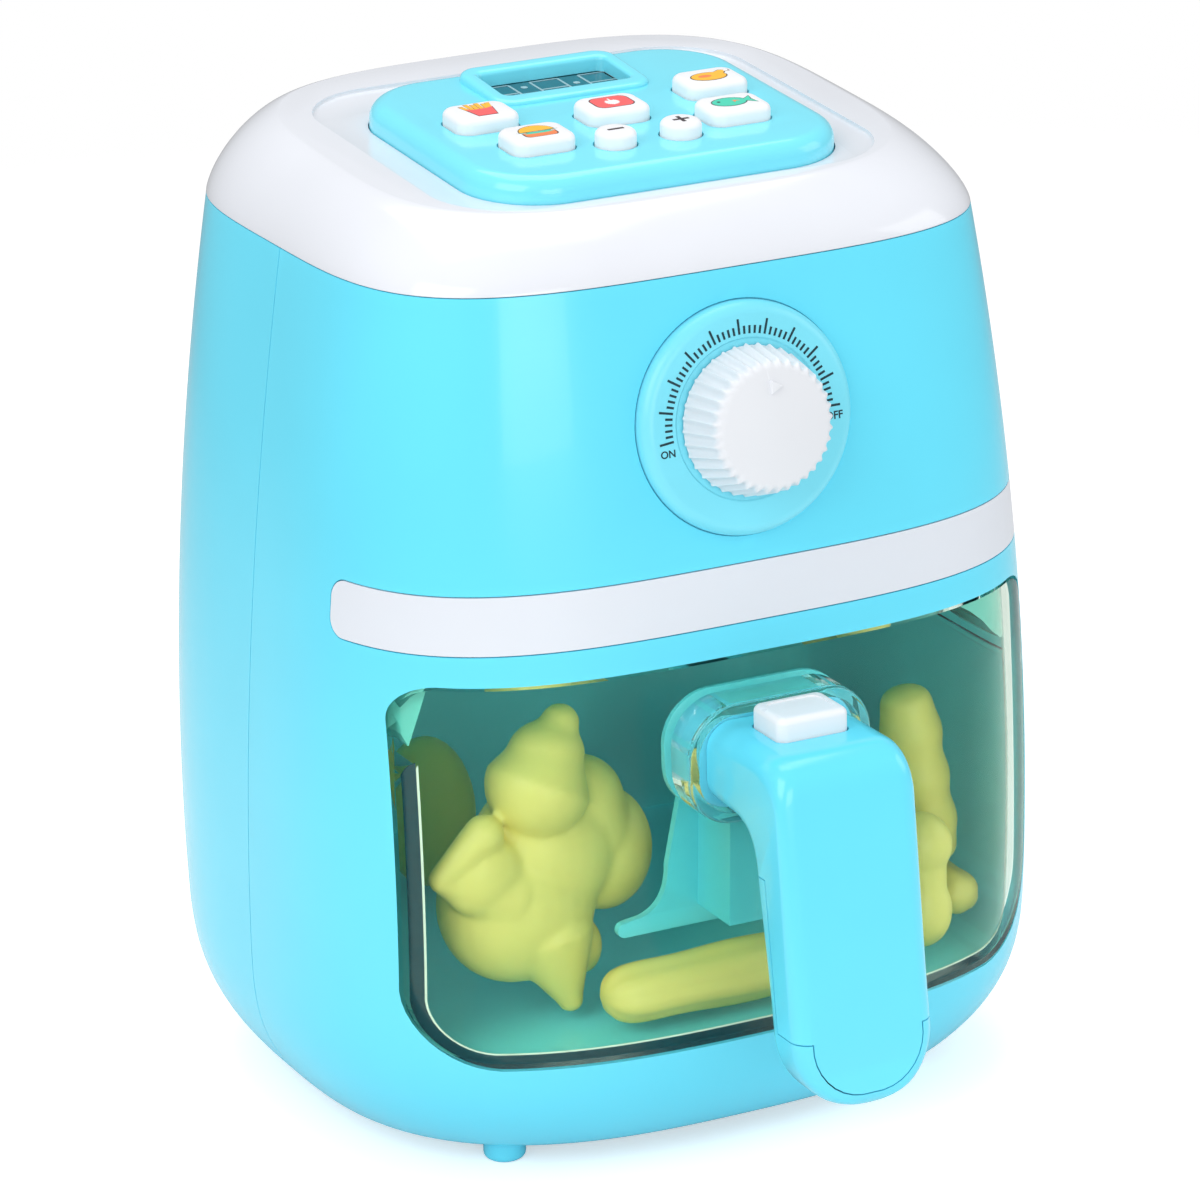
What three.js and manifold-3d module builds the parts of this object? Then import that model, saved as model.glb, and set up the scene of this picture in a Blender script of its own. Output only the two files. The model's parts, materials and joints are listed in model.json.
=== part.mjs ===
// Toy air fryer. A moulded shell in two halves stands on four small feet under a domed cap.
// A clear drawer with a handle slides out of a bay, a dial turns on the front and seven
// buttons press into a raised panel on top. Play food lies in the drawer.
// Millimetres, +Z up, the drawer opens towards -Y, the origin is under the middle of the toy.

import * as THREE from 'three';
import { mergeVertices } from 'three/addons/utils/BufferGeometryUtils.js';
import Module from 'manifold-3d';

// Clearances and moulding

const clearance = 0.3;
const overrun = 60;
const shellWall = 2.4;
const chordError = 0.4;
const fewestSteps = 2;
const edgeSteps = 2;
const bendSteps = 5;
const ringPoints = 36;

// Shell: half-widths at the underside, at the widest level and at the seam under the cap

const footHeight = 5;
const widestHeight = 45;
const baseHalfWidth = 79.2;
const widestHalfWidth = 94.8;
const seamHalfWidth = 79.6;
const baseDepthLoss = 9.7;
const seamDepthLoss = 6.5;
const baseSquareness = 2.7;
const seamSquareness = 3.87;
const tuckPower = 3.05;
const taperPower = 1.82;
const bodyLevels = 6;
const levelCrowding = 1.6;
const partingPlane = -5;

// Feet under the shell

const footRadius = 5;
const footFlatRadius = 3.2;
const footAcross = 53;
const footAlong = 52;

// Cap on the shell, with a sloping top

const capRise = 17.7;
const capTopHalfWidth = 64.7;
const capRoundness = 1.44;
const capSquareness = 3.51;
const capLevels = 4;
const capWall = 2.4;
const capTopWall = 3.2;
const capLipDepth = 4;
const capLipWall = 1.8;
const topTilt = 0.062;
const landingHalfWidth = 55.5;
const landingFront = -54;
const landingBack = 45;
const landingRadius = 20;
const landingDepth = 1;

// White band let into the front shell

const bandLift = 7.3;
const bandWidth = 13.4;
const bandEnd = -42;
const bandRadius = 4.5;
const bandDepth = 1.4;

// Control panel, in the plane of the sloping top

const panelHalfWidth = 46.5;
const panelFront = -50.5;
const panelBack = 32;
const panelRadius = 19;
const panelRise = 5;
const panelEdgeRadius = 4;
const panelWall = 2;
const panelFlange = 1.6;
const panelFlangeWidth = 2.5;

// Display in its raised frame

const frameHalfWidth = 20;
const frameFront = 2;
const frameBack = 28;
const frameRise = 2.4;
const frameRadius = 5;
const frameEdge = 1.2;
const displayHalfWidth = 16.5;
const displayFront = 8;
const displayBack = 24;
const displayRadius = 2;
const lensWall = 1;
const lensMargin = 2.2;

// Buttons of the panel

const buttonRise = 3.6;
const buttonTravel = 1.5;
const buttonFlange = 1.2;
const buttonFlangeWidth = 0.9;
const buttonGap = 0.4;
const foodButtonHalfWidth = 7.9;
const foodButtonHalfDepth = 6.4;
const foodButtonRadius = 3.6;
const roundButtonRadius = 4.8;
const buttonCrown = 1;
const stemRadius = 2;
const stemLength = 1.8;
const rearButtonAcross = 29.5;
const rearButtonAlong = -7;
const frontButtonAcross = 25;
const frontButtonAlong = -27;
const powerButtonAlong = -15;
const signButtonAcross = 8.3;
const signButtonAlong = -33.5;

// Keypad and circuit board under the panel

const matHalfWidth = 33;
const matFront = -38.6;
const matBack = 1;
const matWall = 0.8;
const domeRadius = 3.2;
const domeRise = 0.6;
const boardHalfWidth = 42;
const boardFront = -45.5;
const boardBack = 27;
const boardWall = 1.6;
const boardBossAcross = 36.5;
const boardBossFront = -41;
const boardBossBack = 22;
const boardBossRadius = 2.6;
const boardScrewRadius = 0.9;
const boardScrewHeadRadius = 2;
const boardScrewHead = 1.4;

// Dial on the front: bezel, knob, spindle and switch

const dialMargin = 6.3;
const seamMargin = 7.1;
const dialBore = 3.4;
const spindleRadius = 3;
const bezelRadius = 26.7;
const bezelFace = 3.2;
const bezelEdge = 3;
const bezelSeat = 1.2;
const knobRadius = 17.4;
const knobFrontRadius = 15.4;
const knobHeight = 13.2;
const knobCrown = 1;
const knobShoulder = 2.6;
const knobRibs = 36;
const pointsPerRib = 2;
const knobRibDepth = 0.7;
const knobBoreDepth = 6;
const pointerOffset = 8.2;
const pointerLength = 2.6;
const pointerHalfWidth = 1.3;
const pointerRise = 0.5;
const switchHalfWidth = 13;
const switchThickness = 8;
const clipRadius = 5.5;
const clipThickness = 1;

// Drawer window and the bay behind it

const windowMargin = 12.8;
const windowBottom = 31.9;
const windowHeight = 92.9;
const windowCornerShare = 0.2439;
const windowTopRadius = 9;
const drawerGap = 0.7;
const bayWall = 1.8;
const bayBackLoss = 36.8;
const bayBackRadius = 20;
const bayPostRadius = 4;
const bayPostAcross = 42;
const bayPostAlong = 42;

// Drawer: clear front and clear tub

const drawerFrontWall = 3.6;
const tubSideGap = 4;
const tubBackGap = 2;
const tubWall = 2;
const tubDrop = 18.8;
const collarHalfWidth = 23.3;
const collarHalfHeight = 14.3;
const collarRadius = 12;
const collarWall = 2.6;
const collarReach = 8.5;

// Handle: neck, grip and its two mouldings

const neckDrop = 22;
const neckHalfWidth = 17.5;
const neckHalfHeight = 9.7;
const neckRadius = 6.5;
const gripHalfWidth = 17.5;
const gripHalfDepth = 7.6;
const gripRadius = 4.5;
const gripReach = 32.7;
const gripLean = 0.14;
const gripFootLift = 0.1;
const gripFootRadius = 16;
const outerBend = 8.5;
const innerBend = 13;
const handleRim = 3.5;
const handleBackWall = 5;
const handleBackDrop = 18.8;
const handleSplitLift = 17;
const gripScrewLift = 30;

// Button on the handle and its spring

const pushHalfWidth = 9;
const pushHalfDepth = 7.2;
const pushRadius = 2.6;
const pushRise = 5.2;
const pushCrown = 1.2;
const pushLedge = 3;
const pushFlange = 1.5;
const pushFlangeWidth = 1.3;
const pushSetback = 18;
const pushTravel = 3;
const pushSpringRadius = 3;
const pushSpringWire = 0.5;
const pushSpringLength = 7.4;
const pushSpringTurns = 5;
const springSides = 4;
const stepsPerTurn = 6;

// Bracket behind the clear front, and the screws through it into the neck

const bracketHeadThickness = 2;
const bracketHeadReach = 5.5;
const channelTopHalfWidth = 7;
const channelFootHalfWidth = 8.6;
const channelRise = 4.8;
const channelDepthShare = 0.2237;
const channelWall = 1.8;
const flangeTopHalfWidth = 9;
const flangeWaistHalfWidth = 16;
const flangeFootWidthShare = 0.3816;
const flangeFootShare = 0.2444;
const flangeFootHeight = 3.6;
const flangeCurve = 12;
const flangeWall = 2;
const handleScrewAcross = 14;
const handleScrewRadius = 1.5;
const handleScrewHeadRadius = 3;
const handleScrewHead = 2;
const handleScrewBite = 7;

// Screws and posts that hold the two halves of the shell together

const lowerScrewAcross = 60;
const lowerScrewHeight = 20;
const upperScrewAcross = 60;
const upperScrewDrop = 16.3;
const bossRadius = 4.6;
const screwWellRadius = 3.4;
const screwHeadRadius = 3;
const screwHead = 2;
const screwShankRadius = 1.5;
const screwShoulder = 4;
const screwBite = 18;

// Battery box in the back, its cover and the cells

const batteryLift = 33.2;
const batteryRadius = 7.25;
const batteryLength = 50.5;
const batteryPitch = 15.4;
const batteryTipRadius = 2.7;
const batteryTipLength = 1.2;
const batteryBoxWall = 1.8;
const batteryBoxMargin = 1.6;
const batteryRimMargin = 3;
const contactThickness = 0.6;
const contactHalfWidth = 5;
const contactBump = 0.4;
const contactBumpRadius = 2;
const coverOverlap = 1.2;
const coverGap = 0.4;
const coverRadius = 4;
const coverScrewRadius = 1.3;
const coverScrewHeadRadius = 2.4;
const coverScrewHead = 1.4;
const coverScrewBite = 9;
const coverEar = 9;

// Speaker over slots in the underside

const speakerAlong = 34;
const speakerRadius = 20;
const speakerHeight = 11;
const speakerRim = 2;
const magnetRadius = 9;
const magnetHeight = 5;
const slotWidth = 2.2;
const slotPitch = 5.6;
const slotLength = 26;
const slotCount = 5;

// Play food, which lies on the floor of the drawer. Its places and sizes are shares of the
// tub's inner half-width: across from its middle, back from its front and up from its floor.

const chickenShare = { across: -0.5395, back: 0.4497, width: 0.7895, depth: 0.5, height: 0.9605 };
const cobShare = { back: 0.1708, length: 0.9211, radius: 0.1026 };
const beanShare = { across: 0.8158, back: 0.4892, up: 0.479, length: 0.6053, radius: 0.1 };
const drumstickShare = { across: 0.6974, back: 0.2721, length: 0.4474, radius: 0.1 };
const nuggetShare = { across: 0.8868, back: 0.5813, up: 0.1079, length: 0.5263, radius: 0.0776 };
const eggShare = { across: -0.3816, back: 1.53, height: 0.5263, radius: 0.1842 };
const bunShare = { across: 0.5724, back: 1.0287, width: 0.5658, depth: 0.5132, height: 0.6711 };
const cobSwellShare = 0.08;
const beanSwellShare = 0.16;
const drumstickSwellShare = 0.12;
const nuggetSwellShare = 0.1;
const stickSwells = 2;
const beanSwells = 4;
const beanLean = 0.17;
const foodRing = 8;
const foodLevels = 6;
const stickLevels = 9;

// Sizes that follow from those above: heights from the window upwards, then widths

const windowTop = windowBottom + windowHeight;
const bandBottom = windowTop + bandLift;
const bandTop = bandBottom + bandWidth;
const dialHeight = bandTop + dialMargin + bezelRadius;
const seamHeight = dialHeight + bezelRadius + seamMargin;
const topHeight = seamHeight + capRise;
const upperScrewHeight = seamHeight - upperScrewDrop;
const batteryHeight = windowTop + batteryLift;
const tubTop = windowTop - tubDrop;
const neckHeight = windowTop - neckDrop;
const flangeFoot = windowBottom + flangeFootShare * windowHeight;
const channelFoot = flangeFoot + channelRise;
const gripFoot = windowBottom + gripFootLift;
const gripScrewHeight = gripFoot + gripScrewLift;
const handleSplitHeight = gripFoot + handleSplitLift;
const handleBackTop = neckHeight - handleBackDrop;
const windowHalfWidth = widestHalfWidth - windowMargin;
const windowBottomRadius = windowCornerShare * windowHalfWidth;
const bayBack = widestHalfWidth - bayBackLoss;
const roomHalfWidth = windowHalfWidth - tubSideGap - tubWall;
const channelDepth = channelDepthShare * roomHalfWidth;
const flangeFootHalfWidth = flangeFootWidthShare * roomHalfWidth;

// Ways to make a solid

const wasm = await Module();
wasm.setup();

const xAxis = new THREE.Vector3(1, 0, 0);
const yAxis = new THREE.Vector3(0, 1, 0);
const zAxis = new THREE.Vector3(0, 0, 1);

// planFrame draws in X and Y, frontFrame draws in X and Z and reaches towards the front,
// and sideFrame draws in Y and Z and reaches towards +X
const planFrame = new THREE.Matrix4();
const frontFrame = new THREE.Matrix4().makeRotationX(Math.PI / 2);
const sideFrame = new THREE.Matrix4().makeBasis(yAxis, zAxis, xAxis);

function solidOf(positions, faces) {
  let volume = 0;
  const corners = [new THREE.Vector3(), new THREE.Vector3(), new THREE.Vector3()];
  for (let i = 0; i < faces.length; i += 3) {
    corners.forEach((corner, k) => corner.fromArray(positions, 3 * faces[i + k]));
    volume += corners[0].dot(corners[1].clone().cross(corners[2]));
  }
  const triVerts = Uint32Array.from(volume < 0 ? faces.slice().reverse() : faces);
  const vertProperties = Float32Array.from(positions);
  return new wasm.Manifold(new wasm.Mesh({ numProp: 3, vertProperties, triVerts }));
}

function solidFrom(geometry, frame = planFrame) {
  const bare = geometry.clone().applyMatrix4(frame);
  bare.deleteAttribute('normal');
  bare.deleteAttribute('uv');
  const merged = mergeVertices(bare);
  const faces = [];
  for (let i = 0; i < merged.index.count; i += 3) {
    const [a, b, c] = [0, 1, 2].map((k) => merged.index.getX(i + k));
    if (a !== b && b !== c && c !== a) {
      faces.push(a, b, c);
    }
  }
  return solidOf(Array.from(merged.attributes.position.array), faces);
}

function joined(...solids) {
  return solids.reduce((whole, part) => whole.add(part));
}

// A solid through rings that all have the same number of points
function lofted(rings) {
  const count = rings[0].length;
  const last = (rings.length - 1) * count;
  const faces = [];
  for (let level = 0; level < last; level += count) {
    for (let i = 0; i < count; i += 1) {
      const a = level + i;
      const b = level + (i + 1) % count;
      faces.push(a, b, b + count, a, b + count, a + count);
    }
  }
  for (let i = 1; i + 1 < count; i += 1) {
    faces.push(0, i + 1, i, last, last + i, last + i + 1);
  }
  return solidOf(rings.flat().flatMap((point) => point.toArray()), faces);
}

function extruded(shape, low, high, frame = planFrame) {
  const options = { depth: high - low, bevelEnabled: false, curveSegments: bendSteps };
  const geometry = new THREE.ExtrudeGeometry(shape, options);
  return solidFrom(geometry.translate(0, 0, low), frame);
}

// Straight steps that follow an arc within the chord error
function stepsFor(radius, turn) {
  const step = 2 * Math.acos(1 - Math.min(chordError / radius, 1 / 2));
  return Math.max(fewestSteps, Math.ceil(turn / step));
}

// A profile of [radius, height] pairs turned about the frame's Z axis
function turned(profile, frame = planFrame) {
  const points = profile.map(([radius, height]) => new THREE.Vector2(radius, height));
  const widest = Math.max(...points.map((point) => point.x));
  const geometry = new THREE.LatheGeometry(points, 2 * stepsFor(widest, Math.PI));
  return solidFrom(geometry.rotateX(Math.PI / 2), frame);
}

function rod(radius, low, high, frame = planFrame) {
  return turned([[0, low], [radius, low], [radius, high], [0, high]], frame);
}

function moved(frame, x, y, z) {
  return frame.clone().premultiply(new THREE.Matrix4().makeTranslation(x, y, z));
}

function arcPoints(x, y, radius, from, to, steps = stepsFor(radius, to - from)) {
  return Array.from({ length: steps + 1 }, (_, i) => {
    const angle = from + (to - from) * i / steps;
    return new THREE.Vector2(x + radius * Math.cos(angle), y + radius * Math.sin(angle));
  });
}

// A rectangle whose lower and upper corners may have different radii
function roundedShape(left, right, bottom, top, bottomRadius, topRadius = bottomRadius) {
  return new THREE.Shape([
    ...arcPoints(right - bottomRadius, bottom + bottomRadius, bottomRadius, -Math.PI / 2, 0),
    ...arcPoints(right - topRadius, top - topRadius, topRadius, 0, Math.PI / 2),
    ...arcPoints(left + topRadius, top - topRadius, topRadius, Math.PI / 2, Math.PI),
    ...arcPoints(left + bottomRadius, bottom + bottomRadius, bottomRadius, Math.PI, 1.5 * Math.PI),
  ]);
}

function roundPoints(radius, count) {
  return arcPoints(0, 0, radius, 0, 2 * Math.PI, count).slice(1);
}

// Points of a rounded rectangle about the origin, for a loft
function roundedRing(halfWidth, halfHeight, radius, steps) {
  const corners = [[1, -1], [1, 1], [-1, 1], [-1, -1]];
  return corners.flatMap(([sideX, sideY], corner) => {
    const x = sideX * (halfWidth - radius);
    const y = sideY * (halfHeight - radius);
    return arcPoints(x, y, radius, (corner - 1) * Math.PI / 2, corner * Math.PI / 2, steps);
  });
}

// A block with rounded corners in plan whose upper edge is rounded off too
function crownedBlock(halfWidth, halfDepth, radius, low, high, crown, x = 0, y = 0) {
  const steps = stepsFor(radius, Math.PI / 2);
  const ring = (inset, height) => {
    const corner = Math.max(radius - inset, inset / steps);
    return roundedRing(halfWidth - inset, halfDepth - inset, corner, steps)
      .map((point) => new THREE.Vector3(x + point.x, y + point.y, height));
  };
  const rings = [ring(0, low)];
  for (let i = 0; i <= edgeSteps; i += 1) {
    const angle = i / edgeSteps * Math.PI / 2;
    rings.push(ring(crown * (1 - Math.cos(angle)), high - crown + crown * Math.sin(angle)));
  }
  return lofted(rings);
}

// The form of the shell

function halfWidthAt(height) {
  if (height < widestHeight) {
    const fall = (widestHeight - height) / (widestHeight - footHeight);
    return widestHalfWidth - (widestHalfWidth - baseHalfWidth) * fall ** tuckPower;
  }
  const rise = (height - widestHeight) / (seamHeight - widestHeight);
  return widestHalfWidth - (widestHalfWidth - seamHalfWidth) * rise ** taperPower;
}

function between(low, high, height) {
  return low + (high - low) * height / seamHeight;
}

function halfDepthAt(height) {
  return halfWidthAt(height) - between(baseDepthLoss, seamDepthLoss, height);
}

function ovalRing(halfWidth, halfDepth, squareness, heightOf) {
  const points = [];
  for (let i = 0; i < ringPoints; i += 1) {
    const angle = i / ringPoints * 2 * Math.PI;
    const [across, along] = [Math.cos(angle), Math.sin(angle)];
    const x = halfWidth * Math.sign(across) * Math.abs(across) ** (2 / squareness);
    const y = halfDepth * Math.sign(along) * Math.abs(along) ** (2 / squareness);
    points.push(new THREE.Vector3(x, y, heightOf(y)));
  }
  return points;
}

function bodySolid(inset, low, high) {
  const rings = [];
  for (let i = 0; i <= bodyLevels; i += 1) {
    const height = low + (high - low) * (i / bodyLevels) ** levelCrowding;
    const squareness = between(baseSquareness, seamSquareness, height);
    const halfWidth = halfWidthAt(height) - inset;
    rings.push(ovalRing(halfWidth, halfDepthAt(height) - inset, squareness, () => height));
  }
  return lofted(rings);
}

const shellTop = seamHeight - clearance / 2;
const shellBody = bodySolid(0, footHeight, shellTop);

function insetBody(inset) {
  return bodySolid(inset, footHeight + shellWall, shellTop + capLipDepth);
}

function capSolid(inset, topWall, low) {
  const rise = topHeight - seamHeight - topWall;
  const rings = [];
  if (low < seamHeight) {
    const halfWidth = seamHalfWidth - inset;
    rings.push(ovalRing(halfWidth, halfWidth - seamDepthLoss, seamSquareness, () => low));
  }
  for (let i = 0; i <= capLevels; i += 1) {
    const angle = i / capLevels * Math.PI / 2;
    const reach = Math.max(Math.cos(angle), 0) ** (2 / capRoundness);
    const lift = Math.sin(angle) ** (2 / capRoundness);
    const halfWidth = capTopHalfWidth + (seamHalfWidth - capTopHalfWidth) * reach - inset;
    const squareness = seamSquareness + (capSquareness - seamSquareness) * lift;
    const heightOf = (y) => seamHeight + clearance / 2 + (rise - clearance / 2 + topTilt * y) * lift;
    rings.push(ovalRing(halfWidth, halfWidth - seamDepthLoss, squareness, heightOf));
  }
  return lofted(rings);
}

// Frames of the sloping top and of the dial

const topAngle = Math.atan(topTilt);
const topFrame = new THREE.Matrix4().makeRotationX(topAngle).setPosition(0, 0, topHeight);
const wallLean = Math.atan2(
  halfDepthAt(dialHeight - bezelRadius) - halfDepthAt(dialHeight + bezelRadius),
  2 * bezelRadius,
);
const dialOrigin = new THREE.Vector3(0, -halfDepthAt(dialHeight), dialHeight);
const dialFrame = new THREE.Matrix4().makeRotationX(Math.PI / 2 - wallLean).setPosition(dialOrigin);

// Shapes that several pieces share

const far = widestHalfWidth + overrun;

function windowShape(inset) {
  const side = windowHalfWidth - inset;
  const topRadius = windowTopRadius - inset;
  const bottomRadius = windowBottomRadius - inset;
  return roundedShape(-side, side, windowBottom + inset, windowTop - inset, bottomRadius, topRadius);
}

// A block that fills the bay, or the tub in it, from its back wall out past the front
function bayBlock(sideInset, backInset, floorInset, top) {
  const side = windowHalfWidth - sideInset;
  const bottom = windowBottom + floorInset;
  const bottomRadius = windowBottomRadius - sideInset;
  const topRadius = Math.min(windowTopRadius - sideInset, bottomRadius);
  const front = roundedShape(-side, side, bottom, top, bottomRadius, Math.max(topRadius, clearance));
  const plan = roundedShape(-side, side, -far, bayBack - backInset, bayBackRadius - sideInset);
  return extruded(front, -far, far, frontFrame).intersect(extruded(plan, 0, topHeight));
}

function bandShape(gap) {
  return roundedShape(-far, bandEnd + gap, bandBottom - gap, bandTop + gap, bandRadius + gap);
}

function bandBlock(gap) {
  return extruded(bandShape(gap), -far, far, sideFrame);
}

const coverHalfWidth = batteryLength / 2 + batteryBoxMargin + coverOverlap;
const coverHalfHeight = 1.5 * batteryPitch + coverOverlap;

function coverBlock(gap) {
  const side = coverHalfWidth + gap;
  const bottom = batteryHeight - coverHalfHeight - gap;
  const top = batteryHeight + coverHalfHeight + gap;
  const shape = roundedShape(-side, side, bottom, top, coverRadius + gap);
  const earFoot = top - 2 * coverRadius;
  const ear = roundedShape(-coverEar - gap, coverEar + gap, earFoot, top + coverEar, coverRadius);
  return joined(
    extruded(shape, -far, -bayBack / 2, frontFrame),
    extruded(ear, -far, -bayBack / 2, frontFrame),
  );
}

const panelShape = (inset) => roundedShape(
  -panelHalfWidth + inset,
  panelHalfWidth - inset,
  panelFront + inset,
  panelBack - inset,
  panelRadius - inset,
);

const screwPlaces = [
  [-lowerScrewAcross, lowerScrewHeight],
  [lowerScrewAcross, lowerScrewHeight],
  [-upperScrewAcross, upperScrewHeight],
  [upperScrewAcross, upperScrewHeight],
];

// The scene

const fryer = new THREE.Group();
const top = new THREE.Group();
top.rotation.x = topAngle;
top.position.z = topHeight;
const dial = new THREE.Group();
dial.rotation.x = Math.PI / 2 - wallLean;
dial.position.copy(dialOrigin);
fryer.add(top, dial);

const cyan = '#5fd6f2';
const white = '#eef0f5';
const clear = '#7fae8f';
const foodYellow = '#dcd86a';
const steel = '#b9bdc2';

function finish(color, roughness, metalness = 0) {
  return new THREE.MeshStandardMaterial({ color, roughness, metalness });
}

function place(parent, name, solid, material, position = [0, 0, 0]) {
  const mesh = solid.getMesh();
  const geometry = new THREE.BufferGeometry();
  geometry.setAttribute('position', new THREE.BufferAttribute(mesh.vertProperties, 3));
  geometry.setIndex(new THREE.BufferAttribute(mesh.triVerts, 1));
  geometry.computeVertexNormals();
  const piece = new THREE.Mesh(geometry, material);
  piece.name = name;
  piece.position.set(...position);
  parent.add(piece);
}

// Shell halves: thin walls with feet, screw posts and rests for the bay

const hollowShell = shellBody.subtract(insetBody(shellWall));

function halfSpace(front, back) {
  const shape = roundedShape(-far, far, -overrun, topHeight + overrun, clearance);
  return extruded(shape, -back, -front, frontFrame);
}

// A rod along Y between two planes, through a point of the front view
function alongY(radius, front, back, x, z) {
  return rod(radius, -back, -front, moved(frontFrame, x, 0, z));
}

function screwPosts(front, back) {
  const posts = screwPlaces.map(([x, z]) => alongY(bossRadius, front, back, x, z));
  return joined(...posts).intersect(shellBody);
}

function foot(x, y) {
  const inside = footHeight + shellWall;
  const edge = footRadius - footFlatRadius;
  const profile = [[0, 0], [footFlatRadius, 0], [footRadius, edge], [footRadius, inside], [0, inside]];
  return turned(profile, moved(planFrame, x, y, 0));
}

function bayRest(x, y) {
  const restTop = windowBottom - bayWall - clearance;
  return rod(bayPostRadius, footHeight + shellWall / 2, restTop, moved(planFrame, x, y, 0));
}

function makeFrontHousing() {
  const back = partingPlane - clearance / 2;
  let housing = joined(hollowShell.intersect(halfSpace(-far, back)), screwPosts(-far, back));
  housing = housing.subtract(extruded(windowShape(0), -bandEnd, far, frontFrame));
  housing = housing.subtract(bandBlock(clearance).subtract(insetBody(bandDepth)));
  housing = housing.subtract(rod(bezelRadius + clearance, -bezelSeat, overrun, dialFrame));
  housing = housing.subtract(rod(dialBore, -overrun / 2, overrun, dialFrame));
  for (const [x, z] of screwPlaces) {
    housing = housing.subtract(alongY(screwShankRadius + clearance, back - screwBite, 0, x, z));
  }
  for (const side of [-1, 1]) {
    housing = joined(housing, foot(side * footAcross, -footAlong));
    housing = joined(housing, bayRest(side * bayPostAcross, -bayPostAlong));
  }
  return housing;
}

function speakerFence() {
  const inner = speakerRadius + clearance;
  const low = footHeight + shellWall / 2;
  const high = footHeight + shellWall + speakerHeight / 2;
  const outer = inner + shellWall;
  const wall = [[inner, low], [outer, low], [outer, high], [inner, high], [inner, low]];
  return turned(wall, moved(planFrame, 0, speakerAlong, 0));
}

function makeRearHousing() {
  const front = partingPlane + clearance / 2;
  let housing = joined(hollowShell.intersect(halfSpace(front, far)), screwPosts(front, far), speakerFence());
  housing = housing.subtract(coverBlock(coverGap));
  for (const [x, z] of screwPlaces) {
    housing = housing.subtract(alongY(screwWellRadius, front + screwShoulder, far, x, z));
    housing = housing.subtract(alongY(screwShankRadius + clearance, partingPlane, far, x, z));
  }
  for (let i = 0; i < slotCount; i += 1) {
    const y = speakerAlong + (i - (slotCount - 1) / 2) * slotPitch;
    const half = slotLength / 2;
    const slot = roundedShape(-half, half, y - slotWidth / 2, y + slotWidth / 2, slotWidth / 2);
    housing = housing.subtract(extruded(slot, 0, footHeight + shellWall + clearance));
  }
  for (const side of [-1, 1]) {
    housing = joined(housing, foot(side * footAcross, footAlong));
    housing = joined(housing, bayRest(side * bayPostAcross, bayPostAlong));
  }
  return housing;
}

// A screw along Y, its head from the seat backwards and its shank forwards to the tip
function screwAlongY(headRadius, head, shankRadius, seat, tip) {
  return joined(
    alongY(headRadius, seat, seat + head, 0, 0),
    alongY(shankRadius, tip, seat + head / 2, 0, 0),
  );
}

place(fryer, 'front_housing', makeFrontHousing(), finish(cyan, 0.25));
place(fryer, 'rear_housing', makeRearHousing(), finish(cyan, 0.25));
screwPlaces.forEach(([x, z], i) => {
  const seat = partingPlane + screwShoulder + clearance / 2 + clearance;
  const tip = partingPlane - screwBite + clearance;
  const screw = screwAlongY(screwHeadRadius, screwHead, screwShankRadius, seat, tip);
  place(fryer, `housing_screw_${i + 1}`, screw, finish(steel, 0.35, 1), [x, 0, z]);
});

// White strip let flush into the front shell

const bandSolid = bandBlock(0).intersect(shellBody).subtract(insetBody(bandDepth - clearance));
place(fryer, 'front_band', bandSolid.intersect(halfSpace(-far, bandEnd)), finish(white, 0.3));

// Cap: a domed lid whose lip reaches down inside the shell

// A block through rings of the seam's outline, each given as [inset, height]
function lipBlock(levels) {
  return lofted(levels.map(([inset, height]) => {
    const halfWidth = seamHalfWidth - inset;
    return ovalRing(halfWidth, halfWidth - seamDepthLoss, seamSquareness, () => height);
  }));
}

function makeCap() {
  const lipInset = shellWall + clearance;
  const lipTop = seamHeight + capWall;
  const outside = [
    [lipInset, seamHeight - capLipDepth],
    [lipInset, seamHeight + capWall / 3],
    [capWall - clearance, lipTop],
  ];
  const inside = [[lipInset + capLipWall, seamHeight - overrun], [lipInset + capLipWall, topHeight]];
  const lip = lipBlock(outside).subtract(lipBlock(inside));
  let cap = capSolid(0, 0, seamHeight).subtract(capSolid(capWall, capTopWall, seamHeight - overrun));
  const side = landingHalfWidth;
  const landing = roundedShape(-side, side, landingFront, landingBack, landingRadius);
  cap = cap.subtract(extruded(landing, -landingDepth, overrun, topFrame));
  cap = cap.subtract(extruded(panelShape(-clearance), -overrun, overrun, topFrame));
  return joined(cap, lip);
}

place(fryer, 'top_cap', makeCap(), finish(white, 0.2));

// Levels under the panel, measured from the plane of the sloping top

const panelCeiling = panelRise - panelWall;
const flangeTop = panelCeiling - clearance;
const stemFoot = flangeTop - buttonFlange - stemLength;
const matTop = stemFoot - buttonTravel - clearance - domeRise;
const boardTop = matTop - matWall - clearance;
const lensTop = panelCeiling - clearance;

const foodButtons = {
  fries_button: [-rearButtonAcross, rearButtonAlong],
  chicken_button: [rearButtonAcross, rearButtonAlong],
  burger_button: [-frontButtonAcross, frontButtonAlong],
  fish_button: [frontButtonAcross, frontButtonAlong],
  power_button: [0, powerButtonAlong],
};
const signButtons = {
  minus_button: [-signButtonAcross, signButtonAlong],
  plus_button: [signButtonAcross, signButtonAlong],
};
const boardBosses = [boardBossFront, boardBossBack]
  .flatMap((y) => [[-boardBossAcross, y], [boardBossAcross, y]]);

function at(x, y) {
  return moved(planFrame, x, y, 0);
}

const lensShape = (margin) => roundedShape(
  -displayHalfWidth - margin,
  displayHalfWidth + margin,
  displayFront - margin,
  displayBack + margin,
  displayRadius,
);

// Raised panel with its display frame, button holes and the bosses that carry the board

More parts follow.
